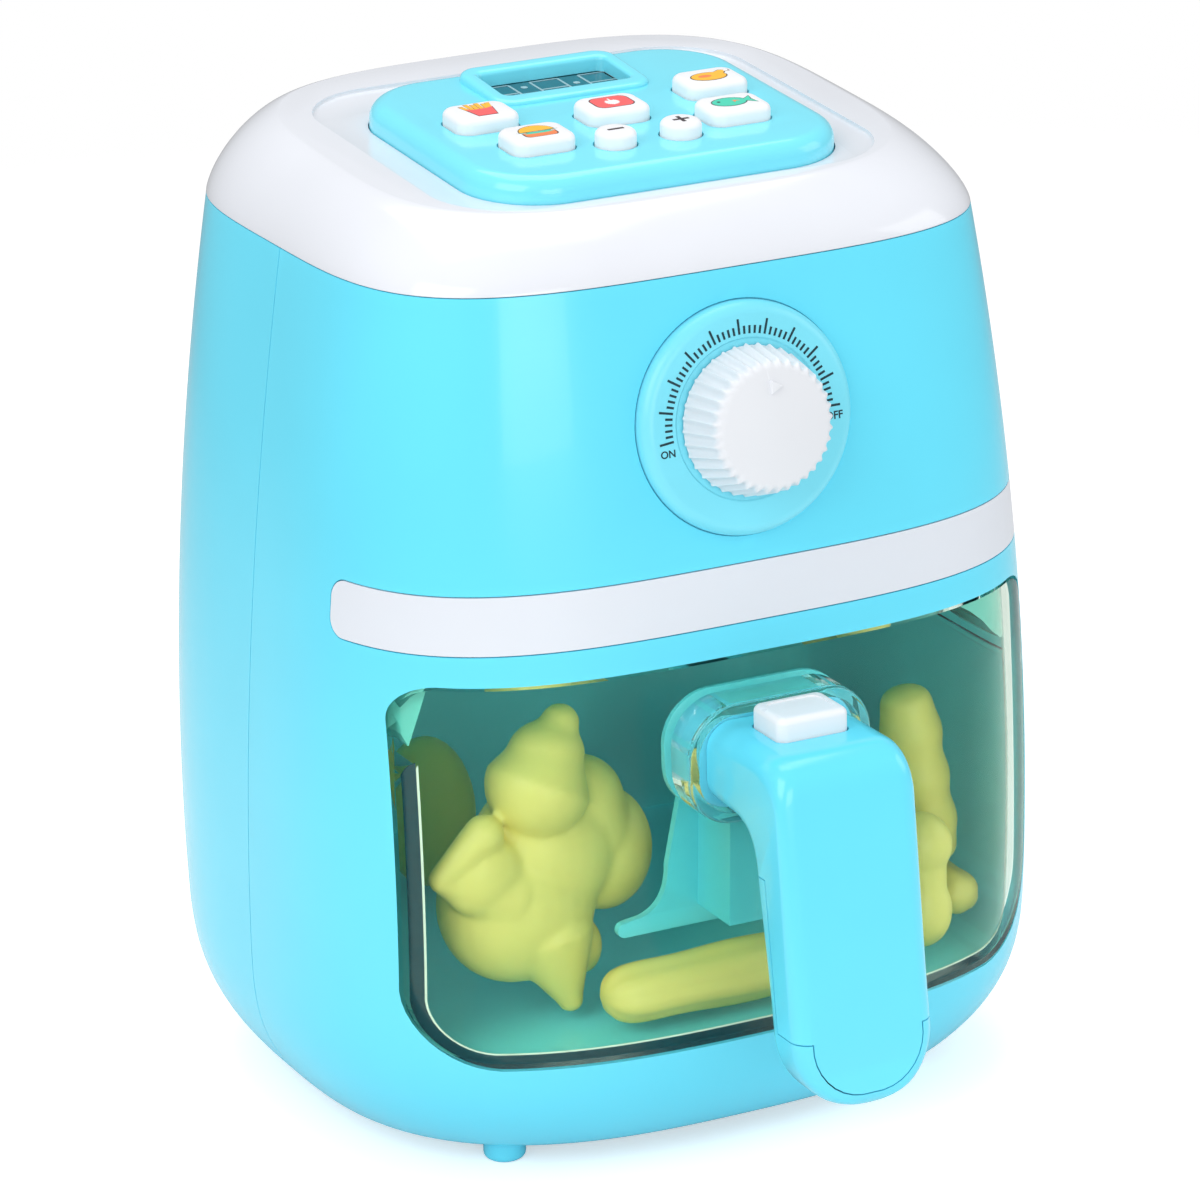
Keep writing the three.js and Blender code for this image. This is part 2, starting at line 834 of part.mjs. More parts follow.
function makePanel() {
  const middle = (panelFront + panelBack) / 2;
  const halfDepth = (panelBack - panelFront) / 2;
  const skirtFoot = -capTopWall - clearance;
  const skin = crownedBlock(
    panelHalfWidth,
    halfDepth,
    panelRadius,
    skirtFoot,
    panelRise,
    panelEdgeRadius,
    0,
    middle,
  );
  const frameMiddle = (frameFront + frameBack) / 2;
  const frameDepth = (frameBack - frameFront) / 2;
  const frameTop = panelRise + frameRise;
  let panel = joined(
    skin,
    extruded(panelShape(-panelFlangeWidth), skirtFoot - panelFlange, skirtFoot),
    crownedBlock(frameHalfWidth, frameDepth, frameRadius, 0, frameTop, frameEdge, 0, frameMiddle),
  );
  panel = panel.subtract(crownedBlock(
    panelHalfWidth - panelWall,
    halfDepth - panelWall,
    panelRadius - panelWall,
    -overrun,
    panelCeiling,
    panelEdgeRadius - panelWall / 2,
    0,
    middle,
  ));
  panel = panel.subtract(extruded(lensShape(0), 0, overrun));
  for (const [x, y] of Object.values(foodButtons)) {
    const side = foodButtonHalfWidth + buttonGap;
    const depth = foodButtonHalfDepth + buttonGap;
    const hole = roundedShape(x - side, x + side, y - depth, y + depth, foodButtonRadius + buttonGap);
    panel = panel.subtract(extruded(hole, 0, overrun));
  }
  for (const [x, y] of Object.values(signButtons)) {
    panel = panel.subtract(rod(roundButtonRadius + buttonGap, 0, overrun, at(x, y)));
  }
  for (const [x, y] of boardBosses) {
    const boss = rod(boardBossRadius, boardTop + clearance, panelCeiling + panelWall / 2, at(x, y));
    panel = joined(panel, boss);
    panel = panel.subtract(rod(boardScrewRadius + clearance, -overrun, panelCeiling - panelWall, at(x, y)));
  }
  return panel;
}

place(top, 'control_panel', makePanel(), finish(cyan, 0.3));

// Buttons: a crowned cap in the panel's hole, a flange under the panel and a stem to the keypad

function makeButton(capBody, flangeBody) {
  return joined(capBody, flangeBody, rod(stemRadius, stemFoot, flangeTop));
}

const buttonTop = panelRise + buttonRise;
const flangeFootLevel = flangeTop - buttonFlange;

for (const [name, [x, y]] of Object.entries(foodButtons)) {
  const [side, depth, radius] = [foodButtonHalfWidth, foodButtonHalfDepth, foodButtonRadius];
  const rim = buttonFlangeWidth;
  const flange = roundedShape(-side - rim, side + rim, -depth - rim, depth + rim, radius + rim);
  const button = makeButton(
    crownedBlock(side, depth, radius, flangeFootLevel, buttonTop, buttonCrown),
    extruded(flange, flangeFootLevel, flangeTop),
  );
  place(top, name, button, finish(white, 0.4), [x, y, 0]);
}

for (const [name, [x, y]] of Object.entries(signButtons)) {
  const inner = roundButtonRadius - buttonCrown;
  const shoulder = buttonTop - buttonCrown;
  const profile = [[0, flangeFootLevel], [roundButtonRadius, flangeFootLevel]];
  for (let i = 0; i <= edgeSteps; i += 1) {
    const angle = i / edgeSteps * Math.PI / 2;
    profile.push([inner + buttonCrown * Math.cos(angle), shoulder + buttonCrown * Math.sin(angle)]);
  }
  const button = makeButton(
    turned([...profile, [0, buttonTop]]),
    rod(roundButtonRadius + buttonFlangeWidth, flangeFootLevel, flangeTop),
  );
  place(top, name, button, finish(white, 0.4), [x, y, 0]);
}

// Display, keypad and board

const lensSolid = extruded(lensShape(lensMargin), lensTop - lensWall, lensTop);
place(top, 'display_lens', lensSolid, finish('#5d7f86', 0.1));
const moduleTop = lensTop - lensWall - clearance;
const moduleSolid = extruded(lensShape(lensMargin), boardTop + clearance, moduleTop);
place(top, 'display_module', moduleSolid, finish('#123f48', 0.3));

function makeMat() {
  const sheet = roundedShape(-matHalfWidth, matHalfWidth, matFront, matBack, domeRadius);
  const places = [...Object.values(foodButtons), ...Object.values(signButtons)];
  const domes = places.map(([x, y]) => turned([
    [0, matTop - matWall / 2],
    [domeRadius, matTop - matWall / 2],
    [stemRadius, matTop + domeRise],
    [0, matTop + domeRise],
  ], at(x, y)));
  return joined(extruded(sheet, matTop - matWall, matTop), ...domes);
}

place(top, 'keypad_mat', makeMat(), finish('#c9ccd0', 0.7));

function makeBoard() {
  const corner = panelRadius - shellWall * 2;
  const outline = roundedShape(-boardHalfWidth, boardHalfWidth, boardFront, boardBack, corner);
  const board = extruded(outline, boardTop - boardWall, boardTop);
  const holes = boardBosses.map(([x, y]) => rod(boardScrewRadius + clearance, -overrun, 0, at(x, y)));
  return board.subtract(joined(...holes));
}

place(top, 'circuit_board', makeBoard(), finish('#2d6a44', 0.5));

boardBosses.forEach(([x, y], i) => {
  const seat = boardTop - boardWall - clearance;
  const screw = joined(
    rod(boardScrewHeadRadius, seat - boardScrewHead, seat),
    rod(boardScrewRadius, seat - boardScrewHead / 2, 0),
  );
  place(top, `board_screw_${i + 1}`, screw, finish(steel, 0.35, 1), [x, y, 0]);
});

// Dial: a bezel let into the shell, a ribbed knob on a spindle and a switch behind the wall

const knobBase = bezelFace + clearance;

function makeBezel() {
  const seat = clearance - bezelSeat;
  const profile = [[dialBore, seat], [bezelRadius, seat]];
  for (let i = 0; i <= edgeSteps; i += 1) {
    const angle = i / edgeSteps * Math.PI / 2;
    const radius = bezelRadius - bezelEdge * (1 - Math.cos(angle));
    profile.push([radius, bezelFace - bezelEdge * (1 - Math.sin(angle))]);
  }
  return turned([...profile, [dialBore, bezelFace], [dialBore, seat]]);
}

function ribbedRing(radius, depth, height) {
  const points = [];
  for (let i = 0; i < pointsPerRib * knobRibs; i += 1) {
    const angle = i / (pointsPerRib * knobRibs) * 2 * Math.PI;
    const reach = radius - (i % pointsPerRib === 0 ? depth : 0);
    points.push(new THREE.Vector3(reach * Math.cos(angle), reach * Math.sin(angle), height));
  }
  return points;
}

function makeKnob() {
  const shoulder = knobBase + knobHeight - knobCrown - knobShoulder;
  const flat = knobFrontRadius - knobShoulder;
  const rings = [ribbedRing(knobRadius, knobRibDepth, knobBase)];
  for (let i = 0; i <= edgeSteps; i += 1) {
    const angle = i / edgeSteps * Math.PI / 2;
    const depth = knobRibDepth * Math.cos(angle);
    const height = shoulder + knobShoulder * Math.sin(angle);
    rings.push(ribbedRing(flat + knobShoulder * Math.cos(angle), depth, height));
  }
  const crownReach = flat / 2;
  rings.push(ribbedRing(crownReach, 0, shoulder + knobShoulder + knobCrown));
  const pointer = new THREE.Shape([
    new THREE.Vector2(-pointerHalfWidth, pointerOffset),
    new THREE.Vector2(pointerHalfWidth, pointerOffset),
    new THREE.Vector2(0, pointerOffset + pointerLength),
  ]);
  const crownTop = shoulder + knobShoulder + knobCrown * (flat - pointerOffset) / (flat - crownReach);
  const knob = joined(lofted(rings), extruded(pointer, shoulder, crownTop + pointerRise));
  return knob.subtract(rod(dialBore, 0, knobBase + knobBoreDepth));
}

const switchFront = -shellWall - 2 * clearance;
const switchBack = switchFront - switchThickness;
const clipBack = switchBack - clearance - clipThickness;

place(dial, 'dial_bezel', makeBezel(), finish(cyan, 0.3));
place(dial, 'dial_knob', makeKnob(), finish(white, 0.35));
const spindleEnd = knobBase + knobBoreDepth - clearance;
const spindleFoot = clipBack - clipThickness / 2;
place(dial, 'dial_spindle', rod(spindleRadius, spindleFoot, spindleEnd), finish(white, 0.4));
const switchSide = switchHalfWidth;
const switchShape = roundedShape(-switchSide, switchSide, -switchSide, switchSide, clearance);
const switchBody = extruded(switchShape, switchBack, switchFront).subtract(rod(dialBore, -overrun, overrun));
place(dial, 'dial_switch', switchBody, finish('#3a3f45', 0.5));
const clipDisc = rod(clipRadius, clipBack, clipBack + clipThickness);
const clip = clipDisc.subtract(rod(dialBore, -overrun, overrun));
place(dial, 'dial_clip', clip, finish(steel, 0.35, 1));

// Bay: a smooth liner behind the window, open to the front

const bayOuter = bayBlock(-bayWall, -bayWall, -bayWall, windowTop + bayWall);
const bayInner = bayBlock(0, 0, 0, windowTop);
const liner = bayOuter.subtract(bayInner).intersect(insetBody(drawerFrontWall + 2 * clearance));
place(fryer, 'bay_liner', liner, finish(cyan, 0.35));

// Drawer: the clear front follows the shell, the clear tub is closed by it

const drawerSurface = halfDepthAt(neckHeight);
const drawerInside = drawerSurface - drawerFrontWall;

function collarShape(inset) {
  const [side, rise] = [collarHalfWidth - inset, collarHalfHeight - inset];
  return roundedShape(-side, side, neckHeight - rise, neckHeight + rise, collarRadius - inset);
}

function makeDrawerFront() {
  const pane = extruded(windowShape(drawerGap), -bandEnd, far, frontFrame).intersect(shellBody);
  const collarBack = drawerSurface - drawerFrontWall / 2;
  const collar = extruded(collarShape(0), collarBack, drawerSurface + collarReach, frontFrame);
  const neckHole = extruded(collarShape(collarWall), 0, far, frontFrame);
  return joined(pane.subtract(insetBody(drawerFrontWall)), collar).subtract(neckHole);
}

function makeTub() {
  const outer = bayBlock(tubSideGap, tubBackGap, clearance, tubTop);
  const inner = bayBlock(tubSideGap + tubWall, tubBackGap + tubWall, clearance + tubWall, tubTop + overrun);
  return outer.subtract(inner).intersect(insetBody(drawerFrontWall + clearance));
}

place(fryer, 'drawer_front', makeDrawerFront(), finish(clear, 0.05));
place(fryer, 'drawer_tub', makeTub(), finish(clear, 0.1));

// Bracket behind the clear front: a head behind the neck and a channel with a flared flange

const flangeForward = drawerInside - channelDepth;

function channelShape(inset) {
  return new THREE.Shape([
    new THREE.Vector2(inset - channelFootHalfWidth, channelFoot + inset),
    new THREE.Vector2(channelFootHalfWidth - inset, channelFoot + inset),
    new THREE.Vector2(channelTopHalfWidth - inset, neckHeight),
    new THREE.Vector2(inset - channelTopHalfWidth, neckHeight),
  ]);
}

function flangeShape() {
  const waist = flangeFoot + flangeFootHeight + flangeCurve;
  const shape = new THREE.Shape();
  shape.moveTo(-flangeFootHalfWidth, flangeFoot);
  shape.lineTo(flangeFootHalfWidth, flangeFoot);
  shape.lineTo(flangeFootHalfWidth, flangeFoot + flangeFootHeight);
  const bend = flangeFoot + flangeFootHeight;
  shape.quadraticCurveTo(flangeWaistHalfWidth, bend, flangeWaistHalfWidth, waist);
  shape.lineTo(flangeTopHalfWidth, neckHeight);
  shape.lineTo(-flangeTopHalfWidth, neckHeight);
  shape.lineTo(-flangeWaistHalfWidth, waist);
  shape.quadraticCurveTo(-flangeWaistHalfWidth, bend, -flangeFootHalfWidth, bend);
  return shape;
}

const handleScrewPlaces = [-handleScrewAcross, handleScrewAcross];
const headBack = drawerInside - clearance - bracketHeadThickness;
const headFront = drawerSurface + bracketHeadReach;

function makeBracket() {
  const backing = insetBody(drawerFrontWall + clearance);
  const channel = extruded(channelShape(0), flangeForward, far, frontFrame)
    .subtract(extruded(channelShape(channelWall), -far, headBack, frontFrame));
  const flange = extruded(flangeShape(), flangeForward, flangeForward + flangeWall, frontFrame)
    .subtract(extruded(channelShape(channelWall), 0, far, frontFrame));
  const plate = extruded(collarShape(0), headBack, far, frontFrame);
  const head = extruded(collarShape(collarWall + clearance), headBack, headFront, frontFrame);
  let bracket = joined(joined(channel, flange, plate).intersect(backing), head);
  for (const x of handleScrewPlaces) {
    const hole = alongY(handleScrewRadius + clearance, -far, 0, x, neckHeight);
    bracket = bracket.subtract(hole);
  }
  return bracket;
}

place(fryer, 'handle_bracket', makeBracket(), finish(cyan, 0.35));

// Handle: one swept form, parted into a shell and a back whose rim shows round the foot

const gripForward = drawerSurface + gripReach;
const gripLine = (height) => gripForward + gripLean * (neckHeight - height);
const pushForward = drawerSurface + pushSetback;
const neckTop = neckHeight + neckHalfHeight;
const slant = Math.hypot(1, gripLean);

const neckFoot = neckHeight - neckHalfHeight;
const neckStart = headFront + clearance;

// A section of the handle between a point of its outer line and one of its inner line,
// both given as [distance towards the front, height]
function handleSection(outer, inner, halfWidth, radius) {
  const middle = outer.clone().add(inner).divideScalar(2);
  const up = outer.clone().sub(middle).normalize();
  const steps = stepsFor(neckRadius, Math.PI / 2);
  return roundedRing(halfWidth, outer.distanceTo(middle), radius, steps).map((point) => new THREE.Vector3(
    point.x,
    -middle.x - point.y * up.x,
    middle.y + point.y * up.y,
  ));
}

function gripPoint(side, height, halfDepth = gripHalfDepth) {
  return new THREE.Vector2(gripLine(height) + side * halfDepth * slant, height);
}

function handleCurve(side, level, reach, back) {
  const corner = gripPoint(side, level);
  const start = new THREE.Vector2(corner.x - back, level);
  return new THREE.QuadraticBezierCurve(start, corner, gripPoint(side, level - reach));
}

function makeHandle() {
  const outer = handleCurve(1, neckTop, outerBend, outerBend);
  const inner = handleCurve(-1, neckFoot, innerBend, innerBend);
  const rings = [handleSection(
    new THREE.Vector2(neckStart, neckTop),
    new THREE.Vector2(neckStart, neckFoot),
    neckHalfWidth,
    neckRadius,
  )];
  for (let i = 0; i <= bendSteps; i += 1) {
    const share = i / bendSteps;
    const halfWidth = neckHalfWidth + (gripHalfWidth - neckHalfWidth) * share;
    const radius = neckRadius + (gripRadius - neckRadius) * share;
    rings.push(handleSection(outer.getPoint(share), inner.getPoint(share), halfWidth, radius));
  }
  const footSteps = stepsFor(gripFootRadius, Math.PI / 2);
  for (let i = 0; i <= footSteps; i += 1) {
    const angle = i / footSteps * Math.PI / 2;
    const rise = gripFootRadius * (1 - Math.sin(angle));
    const near = Math.min(rise, gripRadius);
    const depthLoss = gripRadius - Math.sqrt(gripRadius ** 2 - (gripRadius - near) ** 2);
    const halfWidth = gripHalfWidth - gripFootRadius * (1 - Math.cos(angle));
    const halfDepth = gripHalfDepth - depthLoss;
    const radius = Math.min(gripRadius, halfWidth - clearance / 2, halfDepth - clearance / 2);
    const height = gripFoot + rise;
    const [front, back] = [gripPoint(1, height, halfDepth), gripPoint(-1, height, halfDepth)];
    rings.push(handleSection(front, back, halfWidth, radius));
  }
  return lofted(rings);
}

// The part of the grip that the back moulding fills, grown by a gap to cut the shell
function backRegion(gap) {
  const reach = gripHalfDepth * slant;
  const edge = (height, offset) => new THREE.Vector2(offset - gripLine(height), height);
  const [low, high] = [gripFoot - gripFootRadius, handleBackTop + gap];
  const inner = reach - handleBackWall - gap;
  const outer = reach + handleBackWall;
  const corners = [edge(low, inner), edge(low, outer), edge(high, outer), edge(high, inner)];
  const plate = new THREE.Shape(corners);
  const side = gripHalfWidth - handleRim - gap;
  const foot = gripFoot + handleRim + gap;
  const face = roundedShape(-side, side, foot, topHeight, gripFootRadius - handleRim - gap);
  const band = roundedShape(-far, far, low, handleSplitHeight + gap, clearance);
  const rim = extruded(band, 0, far, frontFrame).subtract(extruded(face, 0, far, frontFrame));
  return joined(extruded(plate, -far, far, sideFrame), rim);
}

const pushTop = neckTop + pushRise;
const pushFlangeTop = neckTop - pushLedge - clearance;
const pushFlangeFoot = pushFlangeTop - pushFlange;
const springTop = pushFlangeFoot - clearance;
const springFoot = springTop - pushSpringLength;

function pushPocket() {
  const around = (margin) => roundedShape(
    -pushHalfWidth - margin,
    pushHalfWidth + margin,
    -pushForward - pushHalfDepth - margin,
    -pushForward + pushHalfDepth + margin,
    pushRadius,
  );
  const floor = pushFlangeFoot - pushTravel - clearance;
  const springWell = pushSpringRadius + 2 * pushSpringWire;
  return joined(
    extruded(around(clearance), pushFlangeTop, pushTop + overrun),
    extruded(around(pushFlangeWidth + clearance), floor, pushFlangeTop + clearance),
    rod(springWell, springFoot - clearance, floor + clearance, at(0, -pushForward)),
  );
}

function gripScrewBore(radius, front, back) {
  const middle = -gripLine(gripScrewHeight);
  return alongY(radius, middle - front, middle + back, 0, gripScrewHeight);
}

const gripScrewSeat = gripHalfDepth - handleBackWall + handleScrewHead / 2;

function makeHandleShell(handle) {
  let shell = handle.subtract(backRegion(clearance)).subtract(pushPocket());
  for (const x of handleScrewPlaces) {
    const bite = neckStart + handleScrewBite + clearance;
    shell = shell.subtract(alongY(handleScrewRadius + clearance, -bite, 0, x, neckHeight));
  }
  return shell.subtract(gripScrewBore(handleScrewRadius + clearance, gripHalfDepth / 2, gripHalfDepth));
}

function makeHandleBack(handle) {
  const back = handle.intersect(backRegion(0));
  const recess = gripScrewBore(handleScrewHeadRadius + clearance, -gripScrewSeat, 2 * gripHalfDepth);
  return back.subtract(recess).subtract(gripScrewBore(handleScrewRadius + clearance, 0, gripHalfDepth));
}

function handleScrew(seat, tip) {
  return screwAlongY(handleScrewHeadRadius, handleScrewHead, handleScrewRadius, seat, tip);
}

const handle = makeHandle();
place(fryer, 'handle_shell', makeHandleShell(handle), finish(cyan, 0.25));
place(fryer, 'handle_back', makeHandleBack(handle), finish(cyan, 0.25));
handleScrewPlaces.forEach((x, i) => {
  const screw = handleScrew(clearance - headBack, -neckStart - handleScrewBite);
  place(fryer, `neck_screw_${i + 1}`, screw, finish(steel, 0.35, 1), [x, 0, neckHeight]);
});
const gripScrew = handleScrew(gripScrewSeat + clearance, clearance - gripHalfDepth / 2);
const gripScrewPlace = [0, -gripLine(gripScrewHeight), gripScrewHeight];
place(fryer, 'grip_screw', gripScrew, finish(steel, 0.35, 1), gripScrewPlace);

// Button on the handle, held by its flange and lifted by a coil spring

function makePushButton() {
  const [side, depth] = [pushHalfWidth + pushFlangeWidth, pushHalfDepth + pushFlangeWidth];
  const flange = roundedShape(-side, side, -depth, depth, pushRadius);
  return joined(
    crownedBlock(pushHalfWidth, pushHalfDepth, pushRadius, pushFlangeFoot, pushTop, pushCrown),
    extruded(flange, pushFlangeFoot, pushFlangeTop),
  );
}

class Helix extends THREE.Curve {
  getPoint(share) {
    const angle = share * pushSpringTurns * 2 * Math.PI;
    const rise = pushSpringWire + share * (pushSpringLength - 2 * pushSpringWire);
    return new THREE.Vector3(pushSpringRadius * Math.cos(angle), pushSpringRadius * Math.sin(angle), rise);
  }
}

function makeSpring() {
  const section = new THREE.Shape(roundPoints(pushSpringWire, springSides));
  const options = { steps: stepsPerTurn * pushSpringTurns, extrudePath: new Helix(), bevelEnabled: false };
  return solidFrom(new THREE.ExtrudeGeometry(section, options));
}

place(fryer, 'handle_button', makePushButton(), finish(white, 0.3), [0, -pushForward, 0]);
place(fryer, 'handle_spring', makeSpring(), finish(steel, 0.3, 1), [0, -pushForward, springFoot]);

// Battery box behind the back wall, its cells, contacts and screwed cover

const cellAlong = halfDepthAt(batteryHeight + 1.5 * batteryPitch) - shellWall - clearance - batteryRadius;
const cellHeights = [-1, 0, 1].map((step) => batteryHeight + step * batteryPitch);
const boxFloor = cellAlong - batteryRadius - clearance;
const boxHalfWidth = batteryLength / 2 + batteryBoxMargin;
const boxHalfHeight = 1.5 * batteryPitch;
const earScrewHeight = batteryHeight + coverHalfHeight + coverEar / 2;

function batteryBlock(margin, front) {
  const [side, rise] = [boxHalfWidth + margin, boxHalfHeight + margin];
  const shape = roundedShape(-side, side, batteryHeight - rise, batteryHeight + rise, coverRadius / 2);
  return extruded(shape, -far, -front, frontFrame);
}

function makeBatteryBox() {
  const rimInset = shellWall + clearance;
  const outer = insetBody(rimInset);
  const rim = coverBlock(batteryRimMargin).intersect(outer).subtract(insetBody(rimInset + batteryBoxWall));
  const boss = alongY(bossRadius, boxFloor, far, 0, earScrewHeight).intersect(outer);
  const walls = batteryBlock(batteryBoxWall, boxFloor - batteryBoxWall).intersect(outer);
  return joined(rim, walls, boss)
    .subtract(batteryBlock(0, boxFloor))
    .subtract(alongY(coverScrewRadius + clearance, 0, far, 0, earScrewHeight));
}

function makeCell(side) {
  const half = batteryLength / 2;
  const shoulder = half - batteryTipLength;
  const profile = [
    [0, -half],
    [batteryRadius, -half],
    [batteryRadius, shoulder],
    [batteryTipRadius, shoulder],
    [batteryTipRadius, half],
    [0, half],
  ];
  return turned(profile, new THREE.Matrix4().makeRotationY(side * Math.PI / 2));
}

// The cells lie in series: a plate at each free end and one across each pair of neighbours
const contactPlates = [
  { side: -1, cells: [0] },
  { side: 1, cells: [0, 1] },
  { side: -1, cells: [1, 2] },
  { side: 1, cells: [2] },
];

function makeContact(side, cells) {
  const inner = batteryLength / 2 + clearance + contactBump;
  const middle = inner + contactThickness / 2;
  const spread = (cells.length - 1) * batteryPitch / 2;
  const long = spread + contactHalfWidth;
  const plate = roundedShape(-long, long, -contactHalfWidth, contactHalfWidth, clearance);
  const frame = new THREE.Matrix4().makeRotationY(side * Math.PI / 2);
  const tip = [0, inner - contactBump];
  const bump = [tip, [contactBumpRadius, inner], [contactBumpRadius, middle], [0, middle]];
  const bumps = cells.map((cell, i) => {
    const offset = (2 * i - cells.length + 1) * batteryPitch / 2;
    return turned(bump, moved(frame, 0, 0, offset));
  });
  return joined(extruded(plate, inner, inner + contactThickness, frame), ...bumps);
}

function makeCover() {
  const skin = coverBlock(0).intersect(shellBody).subtract(insetBody(shellWall));
  return skin.subtract(alongY(coverScrewRadius + clearance, 0, far, 0, earScrewHeight));
}

function makeCoverScrew() {
  const surface = halfDepthAt(earScrewHeight) + clearance + coverScrewHeadRadius * Math.sin(wallLean);
  return joined(
    alongY(coverScrewHeadRadius, surface, surface + coverScrewHead, 0, earScrewHeight),
    alongY(coverScrewRadius, surface - coverScrewBite, surface + coverScrewHead / 2, 0, earScrewHeight),
  );
}

place(fryer, 'battery_box', makeBatteryBox(), finish('#d9dde2', 0.5));
cellHeights.forEach((height, i) => {
  const cell = makeCell(i % 2 ? -1 : 1);
  place(fryer, `battery_${i + 1}`, cell, finish('#8f9499', 0.4), [0, cellAlong, height]);
});
contactPlates.forEach(({ side, cells }, i) => {
  const height = cells.reduce((sum, cell) => sum + cellHeights[cell], 0) / cells.length;
  const contact = makeContact(side, cells);
  place(fryer, `battery_contact_${i + 1}`, contact, finish(steel, 0.3, 1), [0, cellAlong, height]);
});
place(fryer, 'battery_cover', makeCover(), finish(cyan, 0.25));
place(fryer, 'battery_cover_screw', makeCoverScrew(), finish(steel, 0.35, 1));

// Speaker over the slots in the underside

function makeSpeaker() {
  const cone = speakerRadius - 2 * speakerRim;
  const basket = speakerHeight - magnetHeight;
  return turned([
    [0, basket / 2],
    [cone, 0],
    [speakerRadius, 0],
    [speakerRadius, speakerRim],
    [magnetRadius, basket],
    [magnetRadius, speakerHeight],
    [0, speakerHeight],
  ]);
}

const speakerFoot = footHeight + shellWall + clearance;
place(fryer, 'speaker', makeSpeaker(), finish('#30343a', 0.6), [0, speakerAlong, speakerFoot]);

// Play food, moulded in one colour, lying on the floor of the tub

const tubFloor = windowBottom + clearance + tubWall;

// A solid of round rings along an axis, swelling in waves and rounded off at both ends
function foodStick(length, radius, waves, waveShare, frame) {
  const rings = [];
  for (let i = 0; i <= stickLevels; i += 1) {
    const share = -Math.cos((i + 0.5) / (stickLevels + 1) * Math.PI);
    const end = (1 - Math.abs(share) ** 5) ** 0.5;
    const swell = 1 - waveShare * (1 - Math.cos(share * waves * Math.PI)) / 2;
    const points = roundPoints(radius * end * swell, foodRing);
    rings.push(points.map((point) => new THREE.Vector3(point.x, point.y, share * length / 2)));
  }
  return lofted(rings.map((ring) => ring.map((point) => point.applyMatrix4(frame))));
}

function ellipsoid(halfSizes, centre, turn = 0) {
  const spin = new THREE.Quaternion().setFromAxisAngle(yAxis, turn);
  const frame = new THREE.Matrix4().compose(centre, spin, halfSizes);
  return solidFrom(new THREE.SphereGeometry(1, foodRing, foodLevels), frame);
}

// The roast bird stands on its tail: each part is [across, along, up] and half-sizes as shares
// of the bird's half-width, half-depth and half-height, and a turn in the front view
const chickenShares = [
  { centre: [0.02, 0.05, -0.05], size: [0.82, 0.95, 0.58], turn: 0.15 },
  { centre: [-0.05, 0, 0.42], size: [0.5, 0.72, 0.44], turn: 0.3 },
  { centre: [0.12, 0, 0.86], size: [0.17, 0.28, 0.14], turn: 0 },
  { centre: [0.55, 0.1, 0.1], size: [0.4, 0.75, 0.42], turn: -0.3 },
  { centre: [-0.62, -0.2, -0.05], size: [0.38, 0.62, 0.3], turn: 0.5 },
  { centre: [0.08, -0.1, -0.62], size: [0.32, 0.5, 0.38], turn: -0.2 },
];

function makeChicken() {
  const { width, depth, height } = chickenShare;
  const half = new THREE.Vector3(width, depth, height).multiplyScalar(roomHalfWidth / 2);
  const parts = chickenShares.map(({ centre, size, turn }) => ellipsoid(
    new THREE.Vector3(...size).multiply(half),
    new THREE.Vector3(...centre).multiply(half),
    turn,
  ));
  return joined(...parts);
}

const floorLevel = tubFloor + clearance;
const roomFront = halfDepthAt(widestHeight) - drawerFrontWall;
const yellow = () => finish(foodYellow, 0.45);
const alongX = new THREE.Matrix4().makeRotationY(Math.PI / 2);

// The place of a food's middle, from its shares and the half-height that it stands on
function foodPlace({ across = 0, back, up }, halfHeight) {
  const height = floorLevel + (up ?? halfHeight) * roomHalfWidth;
  return new THREE.Vector3(across * roomHalfWidth, back * roomHalfWidth - roomFront, height);
}

function placeStick(name, share, swells, swellShare, frame, halfHeight) {
  const [length, radius] = [share.length * roomHalfWidth, share.radius * roomHalfWidth];
  const turnedFrame = frame.clone().setPosition(foodPlace(share, halfHeight));
  place(fryer, name, foodStick(length, radius, swells, swellShare, turnedFrame), yellow());
}

const chickenPlace = foodPlace(chickenShare, chickenShare.height / 2);
place(fryer, 'play_chicken', makeChicken(), yellow(), chickenPlace.toArray());
placeStick('play_cob', cobShare, stickSwells, cobSwellShare, alongX, cobShare.radius);
const leaning = new THREE.Matrix4().makeRotationY(-beanLean);
placeStick('play_bean', beanShare, beanSwells, beanSwellShare, leaning);
const drumstickHalf = drumstickShare.length / 2;
placeStick('play_drumstick', drumstickShare, stickSwells, drumstickSwellShare, planFrame, drumstickHalf);
placeStick('play_nugget', nuggetShare, stickSwells, nuggetSwellShare, frontFrame);
const eggSize = new THREE.Vector3(eggShare.radius, eggShare.radius, eggShare.height / 2);
const eggCentre = foodPlace(eggShare, eggShare.height / 2);
place(fryer, 'play_egg', ellipsoid(eggSize.multiplyScalar(roomHalfWidth), eggCentre), yellow());
const bunSize = new THREE.Vector3(bunShare.width, bunShare.depth, bunShare.height);
const bunCentre = foodPlace(bunShare, bunShare.height / 2);
place(fryer, 'play_bun', ellipsoid(bunSize.multiplyScalar(roomHalfWidth / 2), bunCentre), yellow());

// The origin goes under the middle of the whole toy

const extent = new THREE.Box3().setFromObject(fryer);
fryer.position.y = -(extent.min.y + extent.max.y) / 2;

export default fryer;
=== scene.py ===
# Toy air fryer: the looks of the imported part, from the housing outwards.
# Shapes are drawn in millimetres about the middle of the housing and settled into the frame.
import json
import math

import bmesh
import bpy
from mathutils import Matrix, Vector

